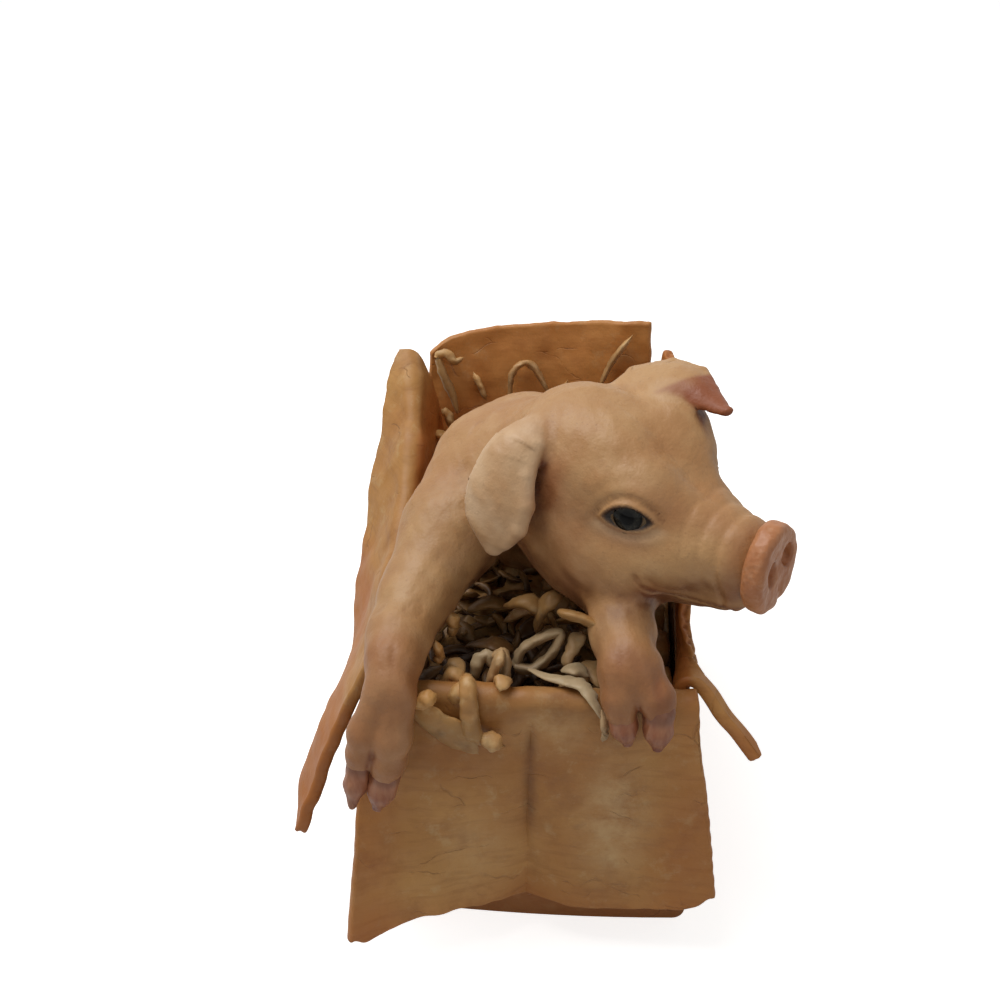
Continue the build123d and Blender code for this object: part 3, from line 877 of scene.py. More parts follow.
# The piglet's skin: one sculpted surface, divided into the ornament's parts
SKIN_STAINS_AND_SHADOW = [
    # (place and reach in the head's own frame, strength)
    # The first row is painted shadow in front of the near ear; the rest darken the paint round the
    # brow, muzzle, mouth, eye and ear
    ((0.5, 16.5, 10), (2.6, 5, 6), 0.6),
    ((20.5, 12, 13.5), (5, 5, 3), 0.35),
    ((29, 3, 7.5), (6, 4.5, 2.5), 0.3),
    ((34.5, 0, 1), (1.6, 12, 12), 0.35),
    ((20, 11, -6.5), (4, 4, 3), 0.3),
    ((16, 12, 2.6), (6, 4, 2.4), 0.3),
    ((22.5, 8, 8.5), (3, 4, 3.5), 0.3),
    ((6, 15, 3), (4, 5, 9), 0.22),
    ((-6, 12, 17), (4, 5, 3.5), 0.25),
]
EAR_LEAD = 0.3
SKIN_BOX = ((-42, -68, 24), (56, 50, 122))
FAR_EAR_ROOT = vec(3.1, -9.0, 19.4)
FAR_EAR_INSIDE = vec(7.5, -13.0, 21.6)
FAR_EAR_FACING = unit(vec(0.75, 0.3, -0.6))


def press_eye_beds(local, out, almond):
    """The skin in the eye openings, pushed below the eyeballs."""
    for side in (1, -1):
        off = local - EYE_CENTRE * vec(1, side, 1)
        reach = np.linalg.norm(off, axis=1)
        sunk = np.minimum(reach, EYE_RADIUS - 0.5) / reach - 1
        share = step_up(-almond, -0.2, 0.2) * step_up(out, -3.5, -1.5) * (local[:, 1] * side > 0)
        local = local + off * (sunk * share)[:, None]
    return local


def skin_marks(points, local, eye_places, normals):
    """What the skin's finish reads at every point: blush, with painted shadow by the near ear;
    pallor, with painted light on the near ear; ink; and painted shade.
    """
    _, eye_up, eye_out, almond = eye_places
    head, _, near_leg, far_leg, near_ear, far_ear = skin_forms(points)
    on_face = step_up(eye_out, -4.5, -1)
    pallor = on_face * hump(almond - 1.8, 1.3) * step_up(-eye_up, 0.2, 1.6) * 0.5
    # Painted light over the whole near ear
    near_ear_light = step_up(-(near_ear - 0.4), 0, 0.8)
    far_leaf = step_up(-(far_ear - 0.6), 0, 0.8) * step_up(-local[:, 1], 4, 8)
    inner_side = step_up(
        (local @ FAR_EAR_FACING) - (FAR_EAR_INSIDE @ FAR_EAR_FACING), -0.4, 0.8
    )
    paws = step_up(-points[:, 1], 44, 56) * 0.4
    stains_and_shadow = sum(
        strength * np.exp(-(((local - vec(*place)) / vec(*reach)) ** 2).sum(1))
        for place, reach, strength in SKIN_STAINS_AND_SHADOW
    )
    # Blush also holds the painted shadow in front of the near ear
    blush = np.maximum(np.clip(1.3 * far_leaf * inner_side, 0, 0.96), paws) + stains_and_shadow
    under = step_up(-normals[:, 2], -0.1, 0.65)
    near_limb, far_limb = (step_up(-(leg - 0.5), 0.0, 1.5) for leg in (near_leg, far_leg))
    jaw = step_up(-local[:, 2], 0, 10) * step_up(-local[:, 0], -22, -6)
    jaw = jaw * step_up(-(head - 1.0), 0, 1)
    inner_arm = 0.52 + 0.38 * step_up(normals[:, 0], 0.0, 0.8)
    # Painted shade: on faces turned down, along the jaw and on both forelegs, most on the far one
    # under the head
    shade = (
        0.85 * under * step_up(points[:, 2], 62, 72)
        + 0.5 * jaw
        + near_limb * step_up(-points[:, 1], 8, 28) * inner_arm
        + 0.95 * far_limb * step_up(-points[:, 1], 12, 28)
    )
    return {
        "blush": np.clip(blush, 0, 0.96),
        # Pale paint under the eyes, and painted light over the near ear
        "pallor": np.maximum(0.6 * pallor, 0.7 * near_ear_light),
        "ink": on_face * step_up(-almond, -0.7, 0.0),
        "shade": np.clip(shade, 0, 0.88),
    }


def make_skin():
    points, faces = sculpt(plain_skin, fine_skin, *SKIN_BOX, SKIN_CELL)
    hollow = hollows(fine_skin, points)
    local = to_head(points)
    eye_places = lids(local)
    local = press_eye_beds(local, *eye_places[2:])
    points = from_head(local)
    normals = smooth_normals(points, faces)
    marks = skin_marks(points, local, eye_places, normals)
    # Painted shade in the creases and hollows, kept light at the far ear's root
    ear_root = np.exp(-((local - FAR_EAR_ROOT) ** 2).sum(1) / 9)
    marks["hollow"] = hollow * (1 - 0.8 * ear_root)
    shares = np.stack(skin_forms(points[faces].mean(1)), 1)
    shares[:, 4:] -= EAR_LEAD
    owner = np.argmin(shares, 1)
    for number, node in enumerate(SKIN_NODES):
        own = faces[owner == number]
        used, renumbered = np.unique(own, return_inverse=True)
        quads = renumbered.reshape(own.shape)
        centres, fans = close_holes(points[used], quads)
        none = np.zeros(len(centres))
        make_piece(
            f"{node}_skin",
            np.concatenate([points[used], centres]),
            quads.tolist() + fans,
            SKIN,
            node,
            {label: np.concatenate([values[used], none]) for label, values in marks.items()},
            np.concatenate([normals[used], np.zeros((len(centres), 3))]),
        )


make_skin()


# The snout disc, tipped up and leaning on its near side
DISC = vec(38.4, 0.0, 1.7)
DISC_HALF_WIDTH = 8.0
DISC_HALF_HEIGHT = 8.6
DISC_HALF_THICK = 2.1
DISC_ROUNDING = 1.5
NOSTRIL_OFF = 3.0
NOSTRIL = (1.75, 2.6, 2.4)
DISC_TILT, DISC_ROLL, DISC_YAW = radians(3), radians(11), radians(6)
DISC_SIDE = vec(sin(DISC_YAW), cos(DISC_YAW), 0)
DISC_OUT = vec(cos(DISC_YAW), -sin(DISC_YAW), 0) * cos(DISC_TILT) + vec(0, 0, sin(DISC_TILT))
DISC_LIFT = np.cross(DISC_OUT, DISC_SIDE)
DISC_ACROSS = DISC_SIDE * cos(DISC_ROLL) - DISC_LIFT * sin(DISC_ROLL)
DISC_UP = DISC_SIDE * sin(DISC_ROLL) + DISC_LIFT * cos(DISC_ROLL)


def disc_form(p):
    off = to_head(p) - DISC
    x, y, z = off @ DISC_ACROSS, off @ DISC_UP, off @ DISC_OUT
    share = np.hypot(x / DISC_HALF_WIDTH, (y + 0.012 * x**2) / DISC_HALF_HEIGHT)
    dished = DISC_HALF_THICK - 0.5 * hump(np.hypot(x, y), 4.5)
    a = (share - 1) * 8.2 + DISC_ROUNDING
    b = np.abs(z) - dished + DISC_ROUNDING
    outside = np.hypot(np.maximum(a, 0), np.maximum(b, 0))
    d = outside + np.minimum(np.maximum(a, b), 0) - DISC_ROUNDING
    for side in (-1, 1):
        hole = np.stack([x + 0.7 - side * NOSTRIL_OFF, y - 0.4, z - 1.9], -1)
        d = carve(d, ball(hole, (0, 0, 0), NOSTRIL), 0.6)
    d = d + 0.3 * hump(x, 0.8) * step_up(-y, 2, 6) * step_up(z, 0.5, 2)
    return d + 0.12 * ripple(p, 4.0, 8)


def make_snout():
    middle = from_head(DISC)
    points, faces = sculpt(disc_form, disc_form, middle - 12, middle + 12, SNOUT_CELL)
    # Painted shade, by the depth of the disc's hollows
    hollow = hollows(disc_form, points, (0.5, 1.0, 2.0))
    make_piece("snout", points, faces, SNOUT, "snout_disc", {"hollow": hollow})


make_snout()


# Eyes
def eyeball(name, side, node):
    """A ball with a slight swelling over the pupil."""
    rings, around = 36, 48
    flip = vec(1, side, 1)
    centre, out = EYE_CENTRE * flip, EYE_OUT * flip
    a = unit(EYE_ALONG * flip)
    b = np.cross(out, a)
    points, ring = [centre + out * EYE_RADIUS * 1.02], [0.0]
    for angle in np.linspace(0, pi, rings)[1:-1]:
        swell = 1 + 0.02 * hump(angle, 0.45)
        for turn in np.linspace(0, 2 * pi, around, endpoint=False):
            way = out * cos(angle) + (a * cos(turn) + b * sin(turn)) * sin(angle)
            points.append(centre + way * EYE_RADIUS * swell)
            ring.append(angle)
    points.append(centre - out * EYE_RADIUS)
    ring.append(pi)
    last = len(points) - 1
    faces = []
    for i in range(around):
        j = (i + 1) % around
        faces.append((1 + j, 1 + i, 0))
        faces.append((last - around + i, last - around + j, last))
        for k in range(rings - 3):
            base = 1 + k * around
            faces.append((base + j, base + around + j, base + around + i, base + i))
    make_piece(name, from_head(points), faces, EYEBALL, node, {"ring": ring})


eyeball("near_eyeball", 1, "right_eye")
eyeball("far_eyeball", -1, "left_eye")


# Hooves
def claw(name, node, toe, tip_place, root_radius):
    """Half a cloven hoof, from inside the toe's end to its pointed tip."""
    root = vec(*toe[-1][:3])
    end = vec(*tip_place)
    way = unit(end - root)
    length = np.linalg.norm(end - root)

    waist = root + way * length * 0.45

    def form(p):
        d = rod(p, root - way * 0.6, waist, root_radius, root_radius * 0.86)
        d = join(d, rod(p, waist, end - way, root_radius * 0.8, 1.0), 1.4)
        return d + 0.1 * ripple(p * vec(1, 1, 0.4), 1.8, 5)

    points, faces = sculpt(form, form, root - 13, root + 13, HOOF_CELL)
    tip = np.clip((points - root) @ way / length, 0, 1)
    marks = {"tip": tip, "hollow": 0.5 * step_up(-tip, -0.25, 0)}
    make_piece(name, points, faces, HOOF, node, marks)


for name, node, *shape in (
    # (name, node, toe, place of the tip, radius at the root)
    ("near_outer_hoof", "right_outer_claw", NEAR_TOES[0], (-33.4, -62.4, 43.6), 2.5),
    ("near_inner_hoof", "right_inner_claw", NEAR_TOES[1], (-28.6, -62.4, 43.2), 3.0),
    ("far_inner_hoof", "left_inner_claw", FAR_TOES[0], (18.4, -57.6, 59.0), 2.8),
    ("far_outer_hoof", "left_outer_claw", FAR_TOES[1], (23.8, -57.8, 58.2), 3.0),
):
    claw(name, node, *shape)


# Card: a sheet of thick board given by its middle surface
FLUTE_RUN = 3.4
FLUTE_DEPTH = 0.9
EDGE_BULGE = 0.55
WARP = 0.45
DIMPLES = 0.16


def grid_faces(across, along):
    """(number of each point, quads) of a grid of points."""
    number = np.arange(across * along).reshape(across, along)
    corners = [number[:-1, :-1], number[1:, :-1], number[1:, 1:], number[:-1, 1:]]
    return number, np.stack(corners, -1).reshape(-1, 4)


def board_sheet(name, node, middle, counts, material, marks_of, ragged, fluted, seed):
    """Closed mesh round a middle surface, middle(u, v). Its edges are worn, and those in fluted,
    counted round from v = 0, show the board's flutes."""
    across, along = counts
    grid = middle(*np.meshgrid(np.linspace(0, 1, across), np.linspace(0, 1, along), indexing="ij"))
    du, dv = np.gradient(grid, axis=0), np.gradient(grid, axis=1)
    normal = unit(np.cross(du, dv))
    grid = grid + normal * WARP * ripple(grid, 17.0, seed)[..., None]
    grid = grid + normal * DIMPLES * ripple(grid, 6.0, seed + 1)[..., None]
    top = grid + normal * BOARD / 2
    low = grid - normal * BOARD / 2
    last, end = across - 1, along - 1
    ring = [(i, 0) for i in range(across)] + [(last, j) for j in range(1, along)]
    ring += [(i, end) for i in range(last - 1, -1, -1)] + [(0, j) for j in range(end - 1, 0, -1)]
    i, j = np.array(ring).T
    edge, facing = grid[i, j], normal[i, j]
    tangent = unit(np.roll(edge, -1, 0) - np.roll(edge, 1, 0))
    away = unit(np.cross(tangent, facing))
    run = np.cumsum(np.linalg.norm(edge - np.roll(edge, 1, 0), axis=1)) * 2 * pi / FLUTE_RUN
    wear = ragged * ripple(edge, 11.0, seed + 2) + 0.4 * ragged * ripple(edge, 3.5, seed + 3)
    show = np.isin(np.select([j == 0, i == last, j == end], [0, 1, 2], 3), fluted)
    rows, depth = [], []
    for level in np.linspace(1, -1, 9):
        bulge = EDGE_BULGE * (1 - level**2) ** 0.5
        flute = show * FLUTE_DEPTH * hump(level - 0.35 * np.sin(run), 0.42)
        flute = flute * (0.6 + 0.4 * np.sin(2 * run))
        rows.append(edge + facing * (BOARD / 2 * level) + away * (bulge + wear - flute)[:, None])
        depth.append(np.clip(flute, 0, 1))
    top[i, j], low[i, j] = rows[0], rows[-1]
    points = np.concatenate([top.reshape(-1, 3), low.reshape(-1, 3)] + rows[1:-1])
    number, quads = grid_faces(across, along)
    count = number.size
    faces = quads.tolist() + (quads[:, ::-1] + count).tolist()
    between = 2 * count + np.arange((len(rows) - 2) * len(ring)).reshape(-1, len(ring))
    loops = [number[i, j], *between, number[i, j] + count]
    for a, b in zip(loops[:-1], loops[1:]):
        faces += np.stack([a, b, np.roll(b, -1), np.roll(a, -1)], 1).tolist()
    marks = marks_of(points)
    # Painted shade inside the flutes of the edges
    hollow = np.concatenate([np.zeros(2 * count)] + [0.9 * d for d in depth[1:-1]])
    marks["hollow"] = np.clip(marks["hollow"] + hollow, 0, 1)
    make_piece(name, points, faces, material, node, marks)


def bent(bends, s):
    """Place and heading along bent board: bends is a list of (length, turn in radians)."""
    x = y = heading = start = 0.0 * s
    for length, turn in bends:
        turn = np.where(np.abs(turn) < 1e-3, 1e-3, turn)
        share = np.clip((s - start) / length, 0, 1)
        angle = heading + turn * share
        x = x + length / turn * (np.cos(heading) - np.cos(angle))
        y = y + length / turn * (np.sin(angle) - np.sin(heading))
        heading = angle
        start = start + length
    over = np.maximum(s - start, 0)
    return x + over * np.sin(heading), y + over * np.cos(heading)


LEFT_FLAP_LENGTH = 29.0
RIGHT_FLAP_LENGTH = 26.0
LEFT_FLAP = [
    # (place along the wall, forward lean, upright share, upright lean, fold, hanging share, curl)
    (-0.5, 12, 0.02, 0.5, 153, 1.38, 8),
    (-0.38, 8, 0.02, 0.5, 152, 1.16, 4),
    (-0.18, 3, 0.02, 0.5, 157, 0.86, 4),
    (0.0, 0, 0.1, 2.0, 150, 0.72, 4),
    (0.2, -3, 0.42, 6.0, 138, 0.5, 4),
    (0.36, -5, 0.68, 14.0, 120, 0.28, 4),
    (0.5, -6, 0.92, 24.0, 70, 0.06, 4),
]
RIGHT_FLAP = [
    (-0.5, 16, 0.02, 0.5, 138, 0.74, 6),
    (-0.48, 16, 0.02, 0.5, 137, 0.7, 6),
    (-0.465, 12, 0.02, 0.5, 134, 0.12, 6),
    (-0.44, 4, 0.05, 0.0, 60, 0.05, 6),
    (-0.31, 0, 0.24, 0.0, 8, 0.06, 4),
    (-0.05, 0, 0.62, 9.0, 14, 0.2, 4),
    (0.25, 2, 0.75, 5.0, 14, 0.22, 4),
    (0.5, 4, 0.85, -3.0, 10, 0.16, 4),
]


def side_sheet(side, length, rows, corner_lobe=0.0):
    """Middle surface of a flap on a long side: -1 is the left side, 1 the right."""
    run = RIM_DEPTH - 2 * (BOARD + SLOT_GAP)

    def middle(u, v):
        row = eased(rows, u * (len(rows) - 1))
        along, upright, hanging = row[..., 0], length * row[..., 2], length * row[..., 5]
        lean, sway, fold, curl = np.radians(row[..., [1, 3, 4, 6]]).transpose(2, 0, 1)
        crease = fold * FOLD_RADIUS
        s = v * (upright + crease + hanging)
        x, y = bent([(upright, sway), (crease, fold), (hanging, curl)], s)
        hinge = side * (RIM_WIDTH / 2 - BOARD / 2 + WALL_BULGE * (1 - (2 * along) ** 2))
        lobe = corner_lobe * step_up(v, 0.35, 1.0) * hump(along + 0.5, 0.1)
        forward = along * run + np.sin(lean) * y - lobe
        return np.stack([hinge + side * x, forward, RIM_Z + np.cos(lean) * y], -1)

    return middle


def side_marks(side):
    def marks_of(p):
        out, z = side * p[:, 0], p[:, 2]
        inside = step_up(-(out - RIM_WIDTH / 2 + BOARD * 0.1), -1.4, 0.6)
        inside = inside * step_up(z, RIM_Z - 4, RIM_Z + 3)
        hinge = hump(z - RIM_Z, 4.0) * step_up(-np.abs(out - 29), -4, 0)
        hung = step_up(out - RIM_WIDTH / 2, 1, 6) * step_up(RIM_Z - z, 2, 10)
        # hollow: painted shade along the fold at the rim; glow: painted shade, a darker orange on
        # the inner face and on the parts hanging outside below the rim
        return {"hollow": 0.3 * hinge, "glow": np.clip(0.75 * inside + 0.6 * hung, 0, 1)}

    return marks_of


FRONT_FLAP = [
    # (across, flare, belly, length share, sideways fan)
    (-0.5, 17, -1, 1.13, -4.5),
    (-0.36, 12, 1, 1.03, -4.6),
    (-0.14, 10, 7, 0.95, -1.5),
    (0.0, 2, 2, 0.96, 0.0),
    (0.14, 8, 7, 0.95, 2.0),
    (0.36, 8, 4, 0.93, 5.0),
    (0.5, 9, 2, 0.905, 9.0),
]
FRONT_FLAP_LENGTH = 52.0
FRONT_FLAP_WIDTH = 62.0


def front_middle(u, v):
    """Middle surface of the front flap, which is creased down its middle."""
    left = eased(FRONT_FLAP[:4], np.clip(u * 6, 0, 3))
    right = eased(FRONT_FLAP[3:], np.clip(u * 6 - 3, 0, 3))
    row = np.where((u < 0.5)[..., None], left, right)
    across = row[..., 0]
    flare, belly, fan = np.radians(row[..., [1, 2, 4]]).transpose(2, 0, 1)
    length = FRONT_FLAP_LENGTH * row[..., 3] + 1.6 * step_up(across, -0.3, -0.1)
    length = length - 3.0 * hump(np.abs(across) - 0.5, 0.035)
    fold = pi - flare
    crease = fold * FOLD_RADIUS
    s = v * (crease + length)
    x, y = bent([(crease, fold), (length / 2, belly), (length / 2, -belly)], s)
    place = across * FRONT_FLAP_WIDTH
    bow = WALL_BULGE * (1 - (place / RIM_WIDTH * 2) ** 2)
    valley = 0.9 * hump(place - 0.3 * np.sin(v * 9), 1.5)
    valley = valley * step_up(v, 0.06, 0.2) * step_up(-v, -0.9, -0.6)
    folds = 0.8 * hump(place + 24 - 9 * v, 2.2) * step_up(v, 0.55, 0.95)
    forward = -RIM_DEPTH / 2 - bow + BOARD / 2 - x + valley - folds
    return np.stack([place - np.sin(fan) * y, forward, RIM_Z + np.cos(fan) * y], -1)


def front_marks(p):
    x, z = p[:, 0], p[:, 2]

    def patch(at_x, at_z, wide, high):
        return np.exp(-(((x - at_x) / wide) ** 2 + ((z - at_z) / high) ** 2))

    # Painted shade along the fold at the rim, down the middle crease and in the pit
    top = hump(z - RIM_Z - 2.0, 3.0) * 0.2
    valley = hump(x - 0.3, 1.3) * step_up(z, 22, 40) * step_up(-z, -60, -52)
    pit = hump(np.linalg.norm(p - vec(-0.8, -56.5, 52.5), axis=-1), 1.3)
    # Painted shade: a darker orange towards the foot, and along the side edges
    low = step_up(-z, -22, -6)
    side = step_up(np.abs(x), 22, 31)
    # Darker at the top left, below the laid shavings
    dark_top_left = patch(-14, 52, 9, 7)
    # Painted highlights: pale patches on the flap
    chalk = 0.55 * patch(17, 36, 6, 15) + 0.4 * patch(4, 58, 7, 5) + 0.3 * patch(-10, 26, 6, 10)
    return {
        "hollow": np.clip(top + 0.55 * valley + 0.8 * pit + 0.3 * dark_top_left, 0, 1),
        "glow": np.clip(0.42 * low + 0.32 * side + 0.15 * dark_top_left, 0, 0.6),
        "chalk": chalk,
    }


# (across, rise, lean, curl)
BACK_FLAP = [(-0.5, 0.0, 10, 2), (-0.2, 0.45, 12, 6), (0.15, 0.75, 12, 6), (0.5, 1.0, 9, 2)]
BACK_FLAP_WIDTH = 55.0
BACK_FLAP_SHIFT = -3.4
BACK_FLAP_LEAST = 23.5
BACK_FLAP_RISE = 6.0


def back_middle(u, v):
    row = eased(BACK_FLAP, u * 3)
    place = row[..., 0] * BACK_FLAP_WIDTH + BACK_FLAP_SHIFT
    corner = np.clip((-row[..., 0] - 0.36) / 0.14, 0, 1)
    rise = BACK_FLAP_LEAST + BACK_FLAP_RISE * row[..., 1] - 3.2 * corner**2.2
    s = v * (BOARD + rise)
    lean, curl = np.radians(row[..., 2:]).transpose(2, 0, 1)
    x, y = bent([(BOARD + 0 * s, lean), (rise, curl)], s)
    bow = WALL_BULGE * (1 - (place / RIM_WIDTH * 2) ** 2)
    return np.stack([place, RIM_DEPTH / 2 + bow - BOARD / 2 + x, RIM_Z + y], -1)


def back_marks(p):
    # Painted shade: darker and more orange towards the flap's foot, over a steady orange tone
    low = step_up(-p[:, 2], -(RIM_Z + 16), -(RIM_Z - 1))
    return {"hollow": 0.3 * low, "glow": 0.25 + 0.45 * low}


left_middle = side_sheet(-1, LEFT_FLAP_LENGTH, LEFT_FLAP, corner_lobe=1.5)
right_middle = side_sheet(1, RIGHT_FLAP_LENGTH, RIGHT_FLAP)
for side, *sheet in (
    # (side, middle surface, counts, finish, marks, wear of the edges, fluted edges, seed)
    ("left", left_middle, (150, 90), CARD, side_marks(-1), 0.2, (0, 2), 11),
    ("right", right_middle, (150, 80), CARD_BACK, side_marks(1), 0.2, (0, 2), 21),
    ("front", front_middle, (170, 150), CARD, front_marks, 0.25, (), 31),
    ("back", back_middle, (130, 70), CARD_BACK, back_marks, 0.25, (), 41),
):
    board_sheet(f"{side}_flap_board", f"{side}_flap", *sheet)


# Carton walls: the frame's own solid, with the same paint
def paint_walls(walls):
    below = -points_of(walls.data)[:, 2]
    # Painted shade: darker and more orange towards the foot of the walls
    set_mark(walls.data, "hollow", 0.5 * step_up(below, -12, -1))
    set_mark(walls.data, "glow", 0.5 * step_up(below, -26, -4))
    for slot in walls.material_slots:
        slot.material = CARD_BODY


paint_walls(frame["nodes"]["carton_body"])


# Packing: the bed, its scattered shavings and the larger ones laid one by one
FLOOR_TOP = 5.0
BED_ROOM = 0.3


CAVITY_DEPTH = 7.5


def cavity(x, y, reach):
    """The hollow in the packing before the piglet's chest."""
    return hump(np.hypot((x + 3) / 1.4, y + 33), reach)


def bed_height(x, y):
    flat = np.stack([x, y, 0 * x], -1)
    lump = 1.6 * ripple(flat, 13.0, 51) + 0.8 * ripple(flat, 5.0, 52)
    front = 1.8 * step_up(-y, 38, 46)
    back = 5.0 * step_up(y, 36, 47)
    return BED_Z + 1.0 + lump * 0.7 - CAVITY_DEPTH * cavity(x, y, 8.5) + front + back


def make_bed():
    across, along = 90, 140
    u, v = np.meshgrid(np.linspace(-1, 1, across), np.linspace(-1, 1, along), indexing="ij")
    x = u * (RIM_WIDTH / 2 - BOARD - BED_ROOM + (WALL_BULGE - 0.2) * (1 - v**2))
    y = v * (RIM_DEPTH / 2 - BOARD - BED_ROOM + (WALL_BULGE - 0.2) * (1 - u**2))
    top = np.stack([x, y, bed_height(x, y)], -1)
    low = np.stack([x, y, 0 * x + FLOOR_TOP], -1)
    points = np.concatenate([top.reshape(-1, 3), low.reshape(-1, 3)])
    number, quads = grid_faces(across, along)
    count = number.size
    ring = np.concatenate([number[:, 0], number[-1, 1:], number[-2::-1, -1], number[0, -2:0:-1]])
    side = np.stack([ring, ring + count, np.roll(ring, -1) + count, np.roll(ring, -1)], 1)
    faces = quads.tolist() + (quads[:, ::-1] + count).tolist() + side.tolist()
    # Painted shade, darker the deeper below the heap's top
    depth = np.clip(0.35 + 0.12 * (BED_Z + 1 - points[:, 2]), 0, 1)
    marks = {"hollow": depth}
    make_piece("packing_heap", points, faces, STRAW, "packing_bed", marks)


make_bed()


def shaving(path, width, thick, rings, around, spin=0.0, taper=0.45, seed=0, wide=None):
    """Closed strip with rounded ends along a path of points, all in millimetres. Its width lies
    along wide where that is given, and otherwise level."""
    path = eased(path, np.linspace(0, len(path) - 1, rings))
    tangent = unit(np.gradient(path, axis=0))
    if wide is None:
        up = unit(np.cross(tangent, np.cross(vec(0.1, 0.2, 1.0) + 0 * tangent, tangent)))
    else:
        up = unit(np.cross(vec(*wide) + 0 * tangent, tangent))
    side = np.cross(tangent, up)
    t = np.linspace(0, 1, rings)
    fat = (1 - (np.abs(2 * t - 1) ** 2.6) * (1 - taper)) * (1 + 0.12 * np.sin(9 * t + seed))
    points = []
    for k in range(rings):
        turn = spin * t[k]
        a = cos(turn) * side[k] + sin(turn) * up[k]
        b = -sin(turn) * side[k] + cos(turn) * up[k]
        for angle in np.linspace(0, 2 * pi, around, endpoint=False):
            off = a * cos(angle) * width / 2 + b * sin(angle) * thick / 2
            points.append(path[k] + fat[k] * off)
    first, last, end = rings * around, rings * around + 1, (rings - 1) * around
    points += [path[0] - tangent[0] * thick * 0.3, path[-1] + tangent[-1] * thick * 0.3]
    faces = []
    for i in range(around):
        j = (i + 1) % around
        faces += [(k + i, k + around + i, k + around + j, k + j) for k in range(0, end, around)]
        faces += [(first, i, j), (last, end + j, end + i)]
    return np.array(points), faces


def arc_path(radius, sweep, rise=0.0):
    share = np.linspace(-0.5, 0.5, 7)
    t = share * radians(sweep)
    return np.stack([radius * np.sin(t), radius * (1 - np.cos(t)), rise * share], 1)


def outward(points, faces):
    """Faces turned so that the closed shape's volume counts as positive."""
    total = 0.0
    for face in faces:
        for i in range(1, len(face) - 1):
            a, b, c = points[face[0]], points[face[i]], points[face[i + 1]]
            total += a @ np.cross(b, c)
    return faces if total > 0 else [tuple(face[::-1]) for face in faces]


# What the strewing tree is given: spacing in metres, the scale of each shaving and the seed
STREWING = {"Spacing": 0.0034, "Smallest": 0.75, "Largest": 1.25, "Seed": 7}
MOST_PER_SQUARE_METRE = 120000.0
TILT = 0.7


def shaving_kinds():
    """A folder with the five kinds of small shaving."""
    kinds = [
        shaving(arc_path(5.0, 110), 2.6, 1.5, 7, 6),
        shaving(arc_path(3.4, 200), 2.4, 1.6, 8, 6),
        shaving(arc_path(9.0, 60, 2.0), 3.0, 1.3, 6, 6, 1.2),
        shaving(arc_path(4.2, 150, 3.5), 2.2, 1.4, 8, 6, 0.8),
        shaving(arc_path(14.0, 38), 4.2, 1.2, 6, 6, 0.6, 0.2),
    ]
    folder = bpy.data.collections.new("shaving_kinds")
    for i, (points, faces) in enumerate(kinds):
        mesh = smooth_mesh(f"kind_{i}", points, outward(points, faces))
        folder.objects.link(bpy.data.objects.new(f"kind_{i}", mesh))
    return folder


def strewing_tree(folder):
    """(tree, the identifier of each named input)"""
    tree = bpy.data.node_groups.new("strewn_shavings", "GeometryNodeTree")
    face = tree.interface
    face.new_socket("Geometry", in_out="INPUT", socket_type="NodeSocketGeometry")
    inputs = {}
    for name, value in STREWING.items():
        kind = "NodeSocketInt" if isinstance(value, int) else "NodeSocketFloat"
        inputs[name] = face.new_socket(name, in_out="INPUT", socket_type=kind).identifier
    face.new_socket("Geometry", in_out="OUTPUT", socket_type="NodeSocketGeometry")
    given = tree.nodes.new("NodeGroupInput").outputs
    seed = given["Seed"]
    spots = add_node(
        tree, "GeometryNodeDistributePointsOnFaces", {"distribute_method": "POISSON"},
        Mesh=given["Geometry"], Distance_Min=given["Spacing"], Seed=seed,
        Density_Max=MOST_PER_SQUARE_METRE,
    )
    pick = add_node(tree, "GeometryNodeCollectionInfo", Collection=folder, Separate_Children=True)
    turn = add_node(
        tree, "FunctionNodeRandomValue", {"data_type": "FLOAT_VECTOR"},
        i0=(-TILT, -TILT, 0.0), i1=(TILT, TILT, 6.283), Seed=seed,
    )
    size = add_node(
        tree, "FunctionNodeRandomValue", i2=given["Smallest"], i3=given["Largest"], Seed=seed
    )
    strewn = add_node(
        tree, "GeometryNodeInstanceOnPoints", Points=spots.outputs["Points"],
        Instance=pick.outputs["Instances"], Pick_Instance=True,
        Rotation=turn.outputs[0], Scale=size.outputs[1],
    )
    real = add_node(tree, "GeometryNodeRealizeInstances", Geometry=strewn.outputs["Instances"])
    painted = add_node(tree, "GeometryNodeSetMaterial", Geometry=real.outputs[0], Material=STRAW)
    add_node(tree, "NodeGroupOutput", Geometry=painted.outputs[0])
    return tree, inputs


